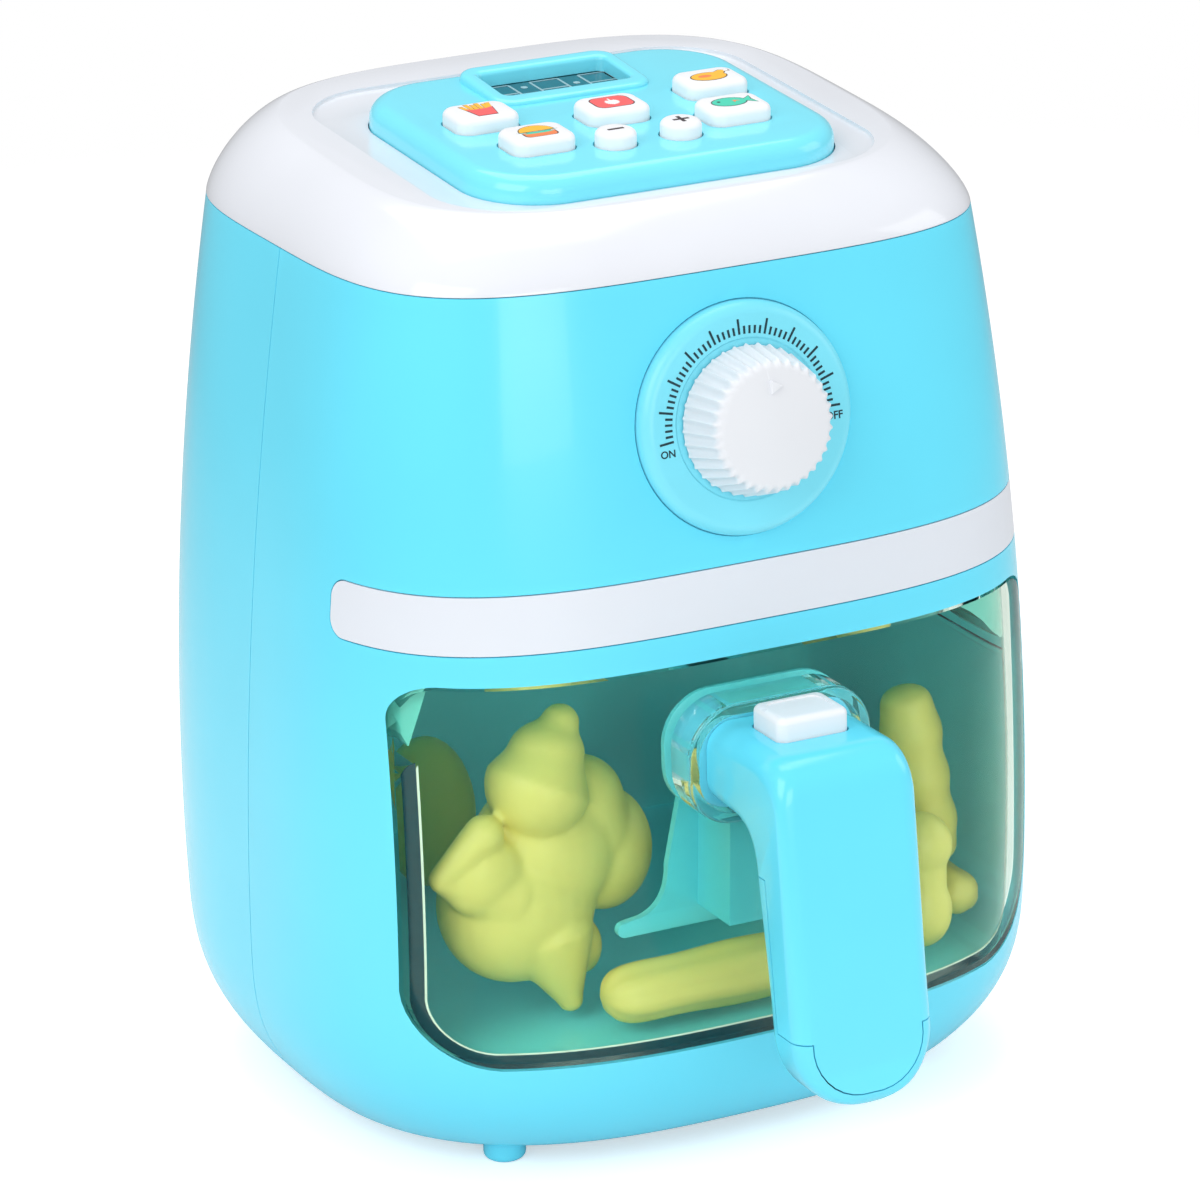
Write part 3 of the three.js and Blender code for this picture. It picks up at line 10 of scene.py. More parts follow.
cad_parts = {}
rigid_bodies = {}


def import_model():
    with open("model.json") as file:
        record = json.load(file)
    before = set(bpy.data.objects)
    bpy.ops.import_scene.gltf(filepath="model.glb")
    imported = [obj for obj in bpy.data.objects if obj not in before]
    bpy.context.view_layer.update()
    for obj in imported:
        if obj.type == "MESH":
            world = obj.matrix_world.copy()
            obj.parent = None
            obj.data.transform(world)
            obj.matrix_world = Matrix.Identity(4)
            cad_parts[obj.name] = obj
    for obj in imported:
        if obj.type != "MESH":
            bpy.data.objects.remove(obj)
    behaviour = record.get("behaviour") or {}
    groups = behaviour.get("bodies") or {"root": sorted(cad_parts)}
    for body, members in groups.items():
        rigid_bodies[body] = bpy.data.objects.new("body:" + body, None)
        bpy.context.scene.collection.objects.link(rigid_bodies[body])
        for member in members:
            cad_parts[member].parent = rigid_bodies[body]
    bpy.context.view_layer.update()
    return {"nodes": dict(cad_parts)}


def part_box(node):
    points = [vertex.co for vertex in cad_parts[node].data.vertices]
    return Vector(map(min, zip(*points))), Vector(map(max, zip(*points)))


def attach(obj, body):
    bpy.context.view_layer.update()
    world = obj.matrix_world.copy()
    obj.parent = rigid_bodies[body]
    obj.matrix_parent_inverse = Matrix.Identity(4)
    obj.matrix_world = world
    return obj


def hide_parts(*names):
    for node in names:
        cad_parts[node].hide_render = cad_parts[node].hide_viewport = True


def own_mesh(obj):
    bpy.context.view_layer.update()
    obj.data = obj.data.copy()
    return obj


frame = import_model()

# Studio: a white floor that fades into a white surround, and four soft boxes.
# The camera stands where the photographer stood, a long lens a metre and a half away.
MM = 0.001
REAR_OVER_PARTING = -4.85
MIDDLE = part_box("rear_housing")[0].y / MM - REAR_OVER_PARTING
TO_FRAME = Matrix.Scale(MM, 4) @ Matrix.Translation((0, MIDDLE, 0))


def nodes_of(owner):
    owner.use_nodes = True
    owner.node_tree.nodes.clear()
    return owner.node_tree


def add(tree, kind, operation=None, **values):
    node = tree.nodes.new("ShaderNode" + kind)
    if operation:
        node.operation = operation
    for name, value in values.items():
        socket = node.inputs[int(name[1:])] if name[1:].isdigit() else node.inputs[name.replace("_", " ")]
        if isinstance(value, bpy.types.NodeSocket):
            tree.links.new(value, socket)
        else:
            socket.default_value = value
    return node


def srgb(red, green, blue):
    def linear(level):
        level /= 255
        return level / 12.92 if level <= 0.04045 else ((level + 0.055) / 1.055) ** 2.4
    return (linear(red), linear(green), linear(blue), 1)


def new_material(name):
    material = bpy.data.materials.new(name)
    return material, nodes_of(material)


def coat_with(tree, shader):
    tree.links.new(shader.outputs[0], add(tree, "OutputMaterial").inputs["Surface"])


def set_out(name, data):
    made = bpy.data.objects.new(name, data)
    bpy.context.scene.collection.objects.link(made)
    return made


def mesh_of(name, bm):
    mesh = bpy.data.meshes.new(name)
    bm.to_mesh(mesh)
    bm.free()
    return mesh


def light_studio():
    world = bpy.data.worlds.new("studio")
    bpy.context.scene.world = world
    tree = nodes_of(world)
    ray = add(tree, "LightPath").outputs
    seen = add(tree, "Math", "MAXIMUM", i0=ray["Is Camera Ray"], i1=ray["Is Transmission Ray"])
    level = add(tree, "MapRange", Value=seen.outputs[0], To_Min=0.62, To_Max=1.0)
    mirrored = add(tree, "Math", "MULTIPLY", i0=ray["Is Glossy Ray"], i1=0.3)
    level = add(tree, "Math", "SUBTRACT", i0=level.outputs[0], i1=mirrored.outputs[0])
    back = add(tree, "Background", Color=(1, 1, 1, 1), Strength=level.outputs[0])
    tree.links.new(back.outputs[0], add(tree, "OutputWorld").inputs["Surface"])

    for name, place, aim, size, power in (
        ("key_box", (-1.1, -0.6, 0.9), (0, 0, 0.12), 1.0, 7.7),
        ("front_box", (-0.15, -1.45, 0.4), (0, 0, 0.08), 0.7, 3.6),
        ("side_box", (1.25, -0.55, 0.65), (0, 0, 0.12), 0.8, 3.0),
        ("top_box", (0.1, 0.35, 1.35), (0, 0, 0.15), 1.0, 6.6),
    ):
        lamp = bpy.data.lights.new(name, "AREA")
        lamp.shape = "SQUARE"
        lamp.size = size
        lamp.energy = power
        holder = set_out(name, lamp)
        holder.location = place
        holder.rotation_euler = (Vector(aim) - Vector(place)).to_track_quat("-Z", "Y").to_euler()


def lay_floor():
    bm = bmesh.new()
    bmesh.ops.create_circle(bm, cap_ends=True, segments=96, radius=3.0)
    floor = set_out("floor", mesh_of("floor", bm))
    material, tree = new_material("paper_floor")
    place = add(tree, "TexCoord").outputs["Object"]
    reach = add(tree, "VectorMath", "LENGTH", i0=place)
    fade = add(tree, "MapRange", Value=reach.outputs["Value"], From_Min=0.25, From_Max=0.9)
    grain = add(tree, "TexNoise", Vector=place, Scale=40.0)
    tone = add(tree, "MapRange", Value=grain.outputs["Fac"], To_Min=0.9, To_Max=0.93)
    seen = add(tree, "LightPath").outputs["Is Camera Ray"]
    glow = add(tree, "Math", "MULTIPLY", i0=seen, i1=0.5)
    paper = add(tree, "BsdfPrincipled", Base_Color=tone.outputs[0], Roughness=0.9,
                Emission_Color=(1, 1, 1, 1), Emission_Strength=glow.outputs[0])
    open_air = add(tree, "BsdfTransparent")
    mix = add(tree, "MixShader", i0=fade.outputs[0], i1=paper.outputs[0], i2=open_air.outputs[0])
    coat_with(tree, mix)
    floor.data.materials.append(material)


def set_camera():
    stand = TO_FRAME @ Vector((-598.8, -1228.3, 582.1))
    aim = TO_FRAME @ Vector((1.05, 0, 112.08))
    roll = math.radians(-1.59)
    focal_pixels, frame_pixels, sensor = 6070, 1200, 36
    sight = (aim - stand).normalized()
    level = sight.cross(Vector((0, 0, 1))).normalized()
    upright = level.cross(sight)
    right = level * math.cos(roll) + upright * math.sin(roll)
    up = upright * math.cos(roll) - level * math.sin(roll)
    camera = bpy.data.cameras.new("camera")
    camera.sensor_width = sensor
    camera.lens = focal_pixels / frame_pixels * sensor
    camera.clip_start = 0.05
    camera.clip_end = 20
    holder = set_out("camera", camera)
    holder.matrix_world = Matrix.Translation(stand) @ Matrix((right, up, -sight)).transposed().to_4x4()
    bpy.context.scene.camera = holder


light_studio()
lay_floor()
set_camera()
bpy.context.scene.view_settings.view_transform = "Standard"

# Housing: two injection-moulded halves in glossy light-blue ABS, a front and a rear, 2.4 mm thick.
# They meet behind the window on posts, held by four screws driven from the back, and stand on
# four moulded feet; the front is cut for the window, the strip and the dial.
WALL = 2.4
GAP = 0.3
FOOT, WIDEST, SEAM = 5, 45, 212.3
BELLY = 94.8
PARTING = -5
AROUND = 200
MEAN_SQUARENESS = 3.3


def oval(angle, half_width, half_depth, squareness):
    across, along = math.cos(angle), math.sin(angle)
    return (
        half_width * math.copysign(abs(across) ** (2 / squareness), across),
        half_depth * math.copysign(abs(along) ** (2 / squareness), along),
    )


def even_turns(count, squareness):
    """Angles at which the points of the outline lie the same way apart"""
    fine = 8000
    points = [Vector(oval(2 * math.pi * i / fine, 1, 0.92, squareness)) for i in range(fine + 1)]
    length = [0]
    for a, b in zip(points, points[1:]):
        length.append(length[-1] + (b - a).length)
    turns, i = [], 0
    for k in range(count):
        while length[i + 1] < length[-1] * k / count:
            i += 1
        turns.append(2 * math.pi * i / fine)
    return turns + [2 * math.pi]


SHELL_TURNS = even_turns(AROUND, MEAN_SQUARENESS)


def half_width(height):
    """The belly at its widest, drawn in below to the foot and above to the seam"""
    if height < WIDEST:
        return BELLY - 15.6 * ((WIDEST - height) / (WIDEST - FOOT)) ** 3.05
    return BELLY - 15.2 * ((height - WIDEST) / (SEAM - WIDEST)) ** 1.82


def half_depth(height):
    return half_width(height) - (9.7 - 3.2 * height / SEAM)


def form(across, levels, place):
    """A form with closed ends, rolled from a sheet of squares; place(turn, level) gives each corner"""
    bm = bmesh.new()
    bmesh.ops.create_grid(bm, x_segments=across, y_segments=levels, size=0.5)
    for v in bm.verts:
        v.co = place(round((v.co.x + 0.5) * across), round((v.co.y + 0.5) * levels))
    bmesh.ops.remove_doubles(bm, verts=bm.verts, dist=1e-3)
    bmesh.ops.dissolve_degenerate(bm, edges=bm.edges, dist=1e-4)
    bmesh.ops.holes_fill(bm, edges=[e for e in bm.edges if e.is_boundary])
    bmesh.ops.recalc_face_normals(bm, faces=bm.faces)
    return bm


def housing_form(inset, low, high, edge=0):
    """The housing's outside, or a skin inside it; edge rounds off its lower rim"""
    rings = []
    for i in range(7 if edge else 0):
        lean = i / 7 * math.pi / 2
        rings.append((low + edge * (1 - math.cos(lean)), inset + edge * (1 - math.sin(lean))))
    start, count = low + edge, 72
    rings += [(start + (high - start) * (i / count) ** 1.15, inset) for i in range(count + 1)]

    def place(turn, level):
        height, taken = rings[level]
        squareness = 2.7 + 1.17 * height / SEAM
        x, y = oval(SHELL_TURNS[turn], half_width(height) - taken, half_depth(height) - taken, squareness)
        return x, y, height

    return form(AROUND, len(rings) - 1, place)


def loose(bm):
    return set_out("work", mesh_of("work", bm))


def dropped(*holders):
    for holder in holders:
        data = holder.data
        bpy.data.objects.remove(holder)
        bpy.data.batch_remove([data])


def taken_from(holder):
    """The shape of a working object with its modifiers on; the object is used up"""
    shaped = holder.evaluated_get(bpy.context.evaluated_depsgraph_get())
    result = bmesh.new()
    result.from_mesh(shaped.to_mesh())
    shaped.to_mesh_clear()
    dropped(holder)
    return result


def carved(bm, *tools, way="DIFFERENCE"):
    """bm less each tool, or joined or crossed with it; the tools are used up"""
    whole = loose(bm)
    holders = [loose(tool) for tool in tools]
    for holder in holders:
        cut = whole.modifiers.new("cut", "BOOLEAN")
        cut.operation = way
        cut.solver = "MANIFOLD"
        cut.object = holder
    result = taken_from(whole)
    dropped(*holders)
    return result


def joined(bm, *others):
    return carved(bm, *others, way="UNION")


def crossed(bm, *others):
    return carved(bm, *others, way="INTERSECT")


def moved(bm, *matrices):
    for matrix in matrices:
        bmesh.ops.transform(bm, matrix=matrix, verts=bm.verts)
    return bm


def shift(x, y, z):
    return Matrix.Translation((x, y, z))


TO_FRONT = Matrix.Rotation(math.pi / 2, 4, "X")
TO_SIDE = Matrix(((0, 0, 1, 0), (1, 0, 0, 0), (0, 1, 0, 0), (0, 0, 0, 1)))


def corners(left, right, bottom, top, low_radius, top_radius=None, steps=8):
    """A flat plate with round corners, drawn out of a circle"""
    top_radius = low_radius if top_radius is None else top_radius
    bm = bmesh.new()
    bmesh.ops.create_circle(bm, cap_ends=True, segments=4 * steps, radius=1)
    moved(bm, Matrix.Rotation(math.pi / 4 / steps, 4, "Z"))
    for v in bm.verts:
        radius = low_radius if v.co.y < 0 else top_radius
        reach = radius / math.cos(math.pi / 4 / steps)
        x = right - radius if v.co.x > 0 else left + radius
        y = top - radius if v.co.y > 0 else bottom + radius
        v.co = (
            min(max(x + reach * v.co.x, left), right),
            min(max(y + reach * v.co.y, bottom), top),
            0,
        )
    return bm


def slab(plate, low, high, crown=0, foot=0, segments=4):
    """A plate drawn up from low to high, its upper edge rounded by crown and its lower by foot"""
    bmesh.ops.translate(plate, vec=(0, 0, low), verts=plate.verts)
    base = plate.faces[:]
    raised = bmesh.ops.extrude_face_region(plate, geom=base, use_keep_orig=True)["geom"]
    tops = [g for g in raised if isinstance(g, bmesh.types.BMVert)]
    bmesh.ops.translate(plate, vec=(0, 0, high - low), verts=tops)
    bmesh.ops.recalc_face_normals(plate, faces=plate.faces)
    for level, size in ((high, crown), (low, foot)):
        if size:
            rim = [e for e in plate.edges if all(abs(v.co.z - level) < 1e-4 for v in e.verts)]
            bmesh.ops.bevel(
                plate, geom=rim, offset=size, offset_type="OFFSET", segments=segments,
                profile=0.5, affect="EDGES", material=-1, clamp_overlap=True,
            )
    return plate


def facing(plate, back, front, **edges):
    """A slab whose plate is drawn in the front view, its ends counted forwards from the middle"""
    return moved(slab(plate, back, front, **edges), TO_FRONT)


def turned(profile, steps=48):
    """A profile of (radius, height) pairs spun about the upright axis"""
    bm = bmesh.new()
    chain = [bm.verts.new((radius, 0, height)) for radius, height in profile]
    edges = [bm.edges.new(pair) for pair in zip(chain, chain[1:])]
    bmesh.ops.spin(
        bm, geom=chain + edges, cent=(0, 0, 0), axis=(0, 0, 1), dvec=(0, 0, 0),
        angle=2 * math.pi, steps=steps, use_merge=True, use_duplicate=False,
    )
    bmesh.ops.remove_doubles(bm, verts=bm.verts, dist=1e-3)
    bmesh.ops.dissolve_degenerate(bm, edges=bm.edges, dist=1e-4)
    bmesh.ops.recalc_face_normals(bm, faces=bm.faces)
    return bm


def rod(radius, low, high, steps=32):
    return turned([(0, low), (radius, low), (radius, high), (0, high)], steps)


def rod_back(radius, front, back, x, z):
    """A rod from front to back through the point x, z of the front view"""
    return moved(rod(radius, -back, -front), TO_FRONT, shift(x, 0, z))


def arc(x, y, radius, start, end, steps=6, along=None):
    """Points on a circle, or on an oval that reaches along the other way"""
    angles = [math.radians(start + (end - start) * i / steps) for i in range(steps + 1)]
    return [(x + radius * math.cos(a), y + (along or radius) * math.sin(a)) for a in angles]


def moulding_skin():
    """Slight changes of tone, a painted highlight on sharp edges, soft ripples and hairline scratches of
    moulded plastic
    """
    group = bpy.data.node_groups.new("moulding_skin", "ShaderNodeTree")
    for name, kind, value in (
        ("Colour", "Color", (0.5, 0.5, 0.5, 1)),
        ("Roughness", "Float", 0.25),
        ("Ripple", "Float", 0.05),
        ("Scuffs", "Float", 0.08),
        ("Grain", "Float", 0.0),
    ):
        socket = group.interface.new_socket(name=name, in_out="INPUT", socket_type="NodeSocket" + kind)
        socket.default_value = value
    for name, kind in (("Colour", "Color"), ("Roughness", "Float"), ("Normal", "Vector")):
        group.interface.new_socket(name=name, in_out="OUTPUT", socket_type="NodeSocket" + kind)
    given = add(group, "TexCoord").outputs["Object"]
    taken = group.nodes.new("NodeGroupInput").outputs
    out = group.nodes.new("NodeGroupOutput")
    cloud = add(group, "TexNoise", Vector=given, Scale=14.0, Detail=3.0)
    tone = add(group, "MapRange", Value=cloud.outputs["Fac"],
               From_Min=0.3, From_Max=0.7, To_Min=0.97, To_Max=1.03)
    # Sharp convex edges come out up to 6 % lighter: a painted highlight where a rounded edge would catch the
    # light
    edge = add(group, "MapRange", Value=add(group, "NewGeometry").outputs["Pointiness"],
               From_Min=0.52, From_Max=0.62, To_Min=1.0, To_Max=1.06)
    # lit: the random tone times the painted edge highlight
    lit = add(group, "Math", "MULTIPLY", i0=tone.outputs[0], i1=edge.outputs[0])
    colour = add(group, "VectorMath", "SCALE", i0=taken["Colour"], Scale=lit.outputs[0])
    group.links.new(colour.outputs[0], out.inputs["Colour"])
    streak = add(group, "Mapping", Vector=given, Rotation=(0.4, 0.9, 0.3), Scale=(900.0, 24.0, 24.0))
    hair = add(group, "TexNoise", Vector=streak.outputs[0], Scale=1.0, Detail=2.0)
    scratch = add(group, "MapRange", Value=hair.outputs["Fac"], From_Min=0.66, From_Max=0.74)
    haze = add(group, "TexNoise", Vector=given, Scale=45.0, Detail=4.0)
    haze = add(group, "MapRange", Value=haze.outputs["Fac"],
               From_Min=0.35, From_Max=0.7, To_Min=-0.35, To_Max=0.5)
    marks = add(group, "Math", "ADD", i0=scratch.outputs[0], i1=haze.outputs[0])
    marks = add(group, "Math", "MULTIPLY_ADD", i0=marks.outputs[0], i1=taken["Scuffs"], i2=taken["Roughness"])
    group.links.new(marks.outputs[0], out.inputs["Roughness"])
    wave = add(group, "TexNoise", Vector=given, Scale=55.0, Detail=1.0)
    wave = add(group, "Bump", Strength=taken["Ripple"], Distance=0.0006, Height=wave.outputs["Fac"])
    fine = add(group, "TexNoise", Vector=given, Scale=2600.0, Detail=2.0)
    fine = add(group, "Bump", Strength=taken["Grain"], Distance=0.0001, Height=fine.outputs["Fac"],
               Normal=wave.outputs[0])
    group.links.new(fine.outputs[0], out.inputs["Normal"])
    return group


MOULDING = moulding_skin()


def skinned(tree, colour, levels, lit=0, **constants):
    """A shader under the moulding's skin, with the skin's levels and the shader's constants"""
    skin = tree.nodes.new("ShaderNodeGroup")
    skin.node_tree = MOULDING
    if isinstance(colour, bpy.types.NodeSocket):
        tree.links.new(colour, skin.inputs["Colour"])
    else:
        skin.inputs["Colour"].default_value = colour
    for level, value in levels.items():
        skin.inputs[level].default_value = value
    # lit paints a glow in the skin's colour: painted light where there is no lamp
    if lit:
        constants.update(Emission_Color=skin.outputs["Colour"], Emission_Strength=lit)
    return add(tree, "BsdfPrincipled", Base_Color=skin.outputs["Colour"],
               Roughness=skin.outputs["Roughness"], Normal=skin.outputs["Normal"], **constants)


def plastic(name, colour, roughness=0.22, ripple=0.06, scuffs=0.04, grain=0.0,
            coat=0.0, glow=0.0, metal=0.0, lit=0.0):
    """A moulded plastic: glow is light spread under its skin; lit paints a faint glow in its own colour,
    standing in for light that comes through its wall
    """
    material, tree = new_material(name)
    levels = {"Roughness": roughness, "Ripple": ripple, "Scuffs": scuffs, "Grain": grain}
    coat_with(tree, skinned(tree, srgb(*colour), levels, lit, Metallic=metal, Coat_Weight=coat,
                            Subsurface_Weight=glow, Subsurface_Radius=(0.004, 0.003, 0.002)))
    return material


def piece(name, bm, body, slot, *materials, stands_for=(), crease=35):
    """Settles a finished form in the frame and hands it to the body it moves with"""
    moved(bm, TO_FRAME)
    for face in bm.faces:
        face.smooth = True
    for edge in bm.edges:
        edge.smooth = not edge.is_manifold or edge.calc_face_angle(0) < math.radians(crease)
    made = set_out(name, mesh_of(name, bm))
    for material in materials:
        made.data.materials.append(material)
    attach(made, body)
    if stands_for:
        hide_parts(*stands_for)
    return made


BLUE = (104, 226, 252)
blue_shell = plastic("blue_shell", BLUE, 0.2, coat=0.2)
SCREWS = [(-60, 20), (60, 20), (-60, 196), (60, 196)]
FAR = 160
SHELL_TOP = SEAM - GAP / 2
WINDOW_HALF, SILL, LINTEL, LOW_CORNER, TOP_CORNER = 82, 31.9, 124.8, 20, 9
STRIP_LOW, STRIP_HIGH, STRIP_END = 132.1, 145.5, -42
DOOR_HALF, DOOR_LOW, DOOR_HIGH, DOOR_DEPTH = 28.05, 133.7, 182.3, -29
TAB_HALF, TAB_HIGH = 9, 191.3


def window(inset, steps=12):
    return corners(-WINDOW_HALF + inset, WINDOW_HALF - inset, SILL + inset, LINTEL - inset,
                   LOW_CORNER - inset, TOP_CORNER - inset, steps)


def half_space(front, back):
    return facing(corners(-FAR, FAR, -FAR, 2 * FAR, 1), -back, -front)


def inner_skin(inset):
    return housing_form(inset, FOOT + WALL, SHELL_TOP + 4)


def strip_block(gap):
    plate = corners(-FAR, STRIP_END + gap, STRIP_LOW - gap, STRIP_HIGH + gap, 4.5 + gap)
    return moved(slab(plate, -FAR, FAR), TO_SIDE)


def cover_block(gap):
    half, tab = DOOR_HALF + gap, TAB_HALF + gap
    body = slab(corners(-half, half, DOOR_LOW - gap, DOOR_HIGH + gap, 4 + gap), -FAR, DOOR_DEPTH)
    ear = slab(corners(-tab, tab, DOOR_HIGH - 8, TAB_HIGH + gap, 4), -FAR, DOOR_DEPTH)
    return moved(joined(body, ear), TO_FRONT)


DIAL_HEIGHT, DIAL_RADIUS, SPINDLE_BORE = 178.5, 26.7, 3.4
DIAL_LOW, DIAL_HIGH = DIAL_HEIGHT - DIAL_RADIUS, DIAL_HEIGHT + DIAL_RADIUS
WALL_LEAN = math.atan2(half_depth(DIAL_LOW) - half_depth(DIAL_HIGH), 2 * DIAL_RADIUS)
DIAL = shift(0, -half_depth(DIAL_HEIGHT), DIAL_HEIGHT) @ Matrix.Rotation(math.pi / 2 - WALL_LEAN, 4, "X")


def foot_at(x, y):
    profile = [(0, 0), (2.6, 0), *arc(3.4, 1.6, 1.6, -90, 0, 4), (5, 7.4), (0, 7.4)]
    return moved(turned(profile), shift(x, y, 0))


def post_at(x, y):
    """A post that the bay rests on"""
    return moved(rod(4, 6.4, 29.8), shift(x, y, 0))


def stands(side):
    """Two feet and two posts, in the front half (-1) or in the rear (1)"""
    kinds = ((foot_at, 53, 52), (post_at, 42, 42))
    return [make(x * way, y * side) for make, x, y in kinds for way in (-1, 1)]


def half_housing(front):
    near, far = (-FAR, PARTING - GAP / 2) if front else (PARTING + GAP / 2, FAR)
    skin = carved(housing_form(0, FOOT, SHELL_TOP, 2.5), inner_skin(WALL))
    posts = [rod_back(4.6, near, far, x, z) for x, z in SCREWS]
    posts = [crossed(post, housing_form(WALL / 2, FOOT, SHELL_TOP)) for post in posts]
    return joined(crossed(skin, half_space(near, far)), *posts)


def front_housing():
    shell = carved(
        half_housing(True),
        facing(window(0), 42, FAR),
        carved(strip_block(GAP), inner_skin(1.4)),
        moved(rod(DIAL_RADIUS + GAP, -1.2, 60, 96), DIAL),
        moved(rod(SPINDLE_BORE, -30, 60), DIAL),
    )
    return joined(shell, *stands(-1))


def rear_housing():
    shell = carved(half_housing(False), cover_block(0.4))
    wells = [rod_back(3.4, PARTING + 4 + GAP / 2, FAR, x, z) for x, z in SCREWS]
    speaker, pitch = 34, 5.6
    slots = [slab(corners(-13, 13, y - 1.1, y + 1.1, 1.1), 0, 7.7)
             for y in [speaker + pitch * i for i in (-2, -1, 0, 1, 2)]]
    fence = turned([(20.3, 6.6), (22.7, 6.6), (22.7, 18), (20.3, 18), (20.3, 6.6)])
    return joined(carved(shell, *wells, *slots), *stands(1), moved(fence, shift(0, speaker, 0)))


piece("housing_front", front_housing(), "housing", "blue_shell", blue_shell, stands_for=["front_housing"])
piece("housing_rear", rear_housing(), "housing", "blue_shell", blue_shell, stands_for=["rear_housing"])

# Strip: a white ABS band let flush into a channel across the front, its ends rounded.
# It is pushed in from outside and held by glue.
WHITE = (230, 233, 240)
white_gloss = plastic("white_gloss", WHITE, 0.16, coat=0.25)
white_satin = plastic("white_satin", (225, 230, 238), 0.3, ripple=0.04, scuffs=0.03)


def front_strip():
    strip = crossed(strip_block(0), housing_form(0, 120, 160), half_space(-FAR, STRIP_END))
    return carved(strip, inner_skin(1.1))


piece("white_strip", front_strip(), "housing", "white_shell", white_satin, stands_for=["front_band"])

# Cap: a domed lid in glossy white ABS whose lip drops inside the housing and holds by friction.
# A shallow landing is let into its sloping top round the hole for the control panel.
TILT = 0.062
TOP = 230
CAP_HALF, CAP_SHOULDER, CAP_SQUARENESS, NARROWER = 79.6, 64.7, 3.87, 6.5
ON_TOP = shift(0, 0, TOP) @ Matrix.Rotation(math.atan(TILT), 4, "X")


def cap_oval(turn, inset, reach=1, lift=0):
    half = CAP_SHOULDER + (CAP_HALF - CAP_SHOULDER) * reach - inset
    return oval(SHELL_TURNS[turn], half, half - NARROWER, CAP_SQUARENESS - 0.36 * lift)


def cap_form(inset, top_wall, low, levels=28):
    rise, fullness = TOP - SEAM - top_wall, 1.44

    def place(turn, level):
        if level == 0:
            return *cap_oval(turn, inset), low
        lean = (level - 1) / (levels - 1) * math.pi / 2
        reach = max(math.cos(lean), 0) ** (2 / fullness)
        lift = math.sin(lean) ** (2 / fullness)
        x, y = cap_oval(turn, inset, reach, lift)
        return x, y, SEAM + GAP / 2 + (rise - GAP / 2 + TILT * y) * lift

    return form(AROUND, levels, place)


def lip_form(levels):
    def place(turn, level):
        inset, height = levels[level]
        return *cap_oval(turn, inset), height
    return form(AROUND, len(levels) - 1, place)


def panel_plate(inset, steps=14):
    return corners(-46.5 + inset, 46.5 - inset, -50.5 + inset, 32 - inset, 19 - inset, steps=steps)


def top_cap():
    cap = carved(
        cap_form(0, 0, SEAM + GAP / 2 - 0.05),
        cap_form(WALL, 3.2, 150),
        moved(slab(corners(-55.5, 55.5, -54, 45, 20, steps=14), -1, 60, foot=0.7), ON_TOP),
        moved(slab(panel_plate(-GAP), -60, 60), ON_TOP),
    )
    lip = lip_form([(2.7, SEAM - 4), (2.7, SEAM + 0.8), (2.1, SEAM + 2.4)])
    return joined(cap, carved(lip, lip_form([(4.5, 100), (4.5, 240)])))


piece("cap", top_cap(), "housing", "white_shell", white_gloss, stands_for=["top_cap"])

# Control panel: a cushion-edged plate in light-blue ABS that clips up through the cap, with a raised
# frame round the display and a hole for each button. The circuit board hangs under it on four bosses.
blue_panel = plastic("blue_panel", (124, 232, 252), 0.18, coat=0.2)
PANEL_TOP, CEILING, PANEL_LOW, CLIP_LOW = 5, 3, -3.5, -5.1
QUARTER = [math.radians(15 * i) for i in range(7)]
FOOD_KEYS = {
    "fries": (-29.5, -7),
    "chicken": (29.5, -7),
    "burger": (-25, -27),
    "fish": (25, -27),
    "power": (0, -15),
}
SIGN_KEYS = {"minus": (-8.3, -33.5), "plus": (8.3, -33.5)}
BOSSES = [(x, y) for y in (-41, 22) for x in (-36.5, 36.5)]


def key_plate(x, y, margin, steps=8):
    wide, deep = 7.9 + margin, 6.4 + margin
    return corners(x - wide, x + wide, y - deep, y + deep, 3.6 + margin, steps=steps)


def round_corner(share, half_wide, half_high, radius, steps):
    angle = (share + 0.5) * 2 * math.pi / steps
    x, y = math.cos(angle), math.sin(angle)
    return (
        math.copysign(half_wide - radius, x) + radius * x,
        math.copysign(half_high - radius, y) + radius * y,
    )


def display_frame():
    """A ring drawn along round corners, its top sloping down towards the front"""
    profile = [(0, 3.4)]
    profile += [(0.36 - 0.36 * math.cos(a), 5.9 + 1.5 * math.sin(a)) for a in QUARTER]
    profile += [(0.72 + 0.28 * math.sin(a), 6.2 + 1.2 * math.cos(a)) for a in QUARTER]
    profile += [(1, 3.4), (0, 3.4)]
    steps = 48

    def place(turn, level):
        share, height = profile[level]
        x, y = round_corner(turn % steps, 20 - 3.5 * share, 13 - 5 * share, 5 - 3 * share, steps)
        if height > PANEL_TOP:
            height -= (height - PANEL_TOP) * 0.55 * (13 - y) / 26
        return x, y + 15, height

    return form(steps, len(profile) - 1, place)


def control_panel():
    cushion = slab(panel_plate(0), PANEL_LOW, PANEL_TOP, crown=4, segments=8)
    panel = joined(cushion, slab(panel_plate(-2.5), CLIP_LOW, PANEL_LOW))
    opening = slab(corners(-17, 17, 7.5, 24.5, 2.5), 0, 60)
    holes = [slab(key_plate(x, y, 0.4), 0, 60) for x, y in FOOD_KEYS.values()]
    holes += [moved(rod(5.2, 0, 60, 40), shift(x, y, 0)) for x, y in SIGN_KEYS.values()]
    panel = carved(panel, slab(panel_plate(2), -60, CEILING, crown=2.5), opening, *holes)
    posts = [moved(rod(2.6, -4.6, 4), shift(x, y, 0)) for x, y in BOSSES]
    bores = [moved(rod(1.2, -60, 1), shift(x, y, 0)) for x, y in BOSSES]
    return moved(carved(joined(panel, display_frame(), *posts), *bores), ON_TOP)


piece("panel", control_panel(), "housing", "blue_shell", blue_panel, stands_for=["control_panel"])

# Display: a dark smoked lens that stands up into the frame, over a grey module on the board.
# The figures are printed on its face as pale outlines.
display_smoke = plastic("display_smoke", (10, 74, 88), 0.12, ripple=0.02, scuffs=0.05, coat=0.5)
pale_ink = plastic("pale_ink", (150, 186, 194), 0.4, ripple=0, grain=0.1)
LENS_TOP = 3.3
INK = 0.06


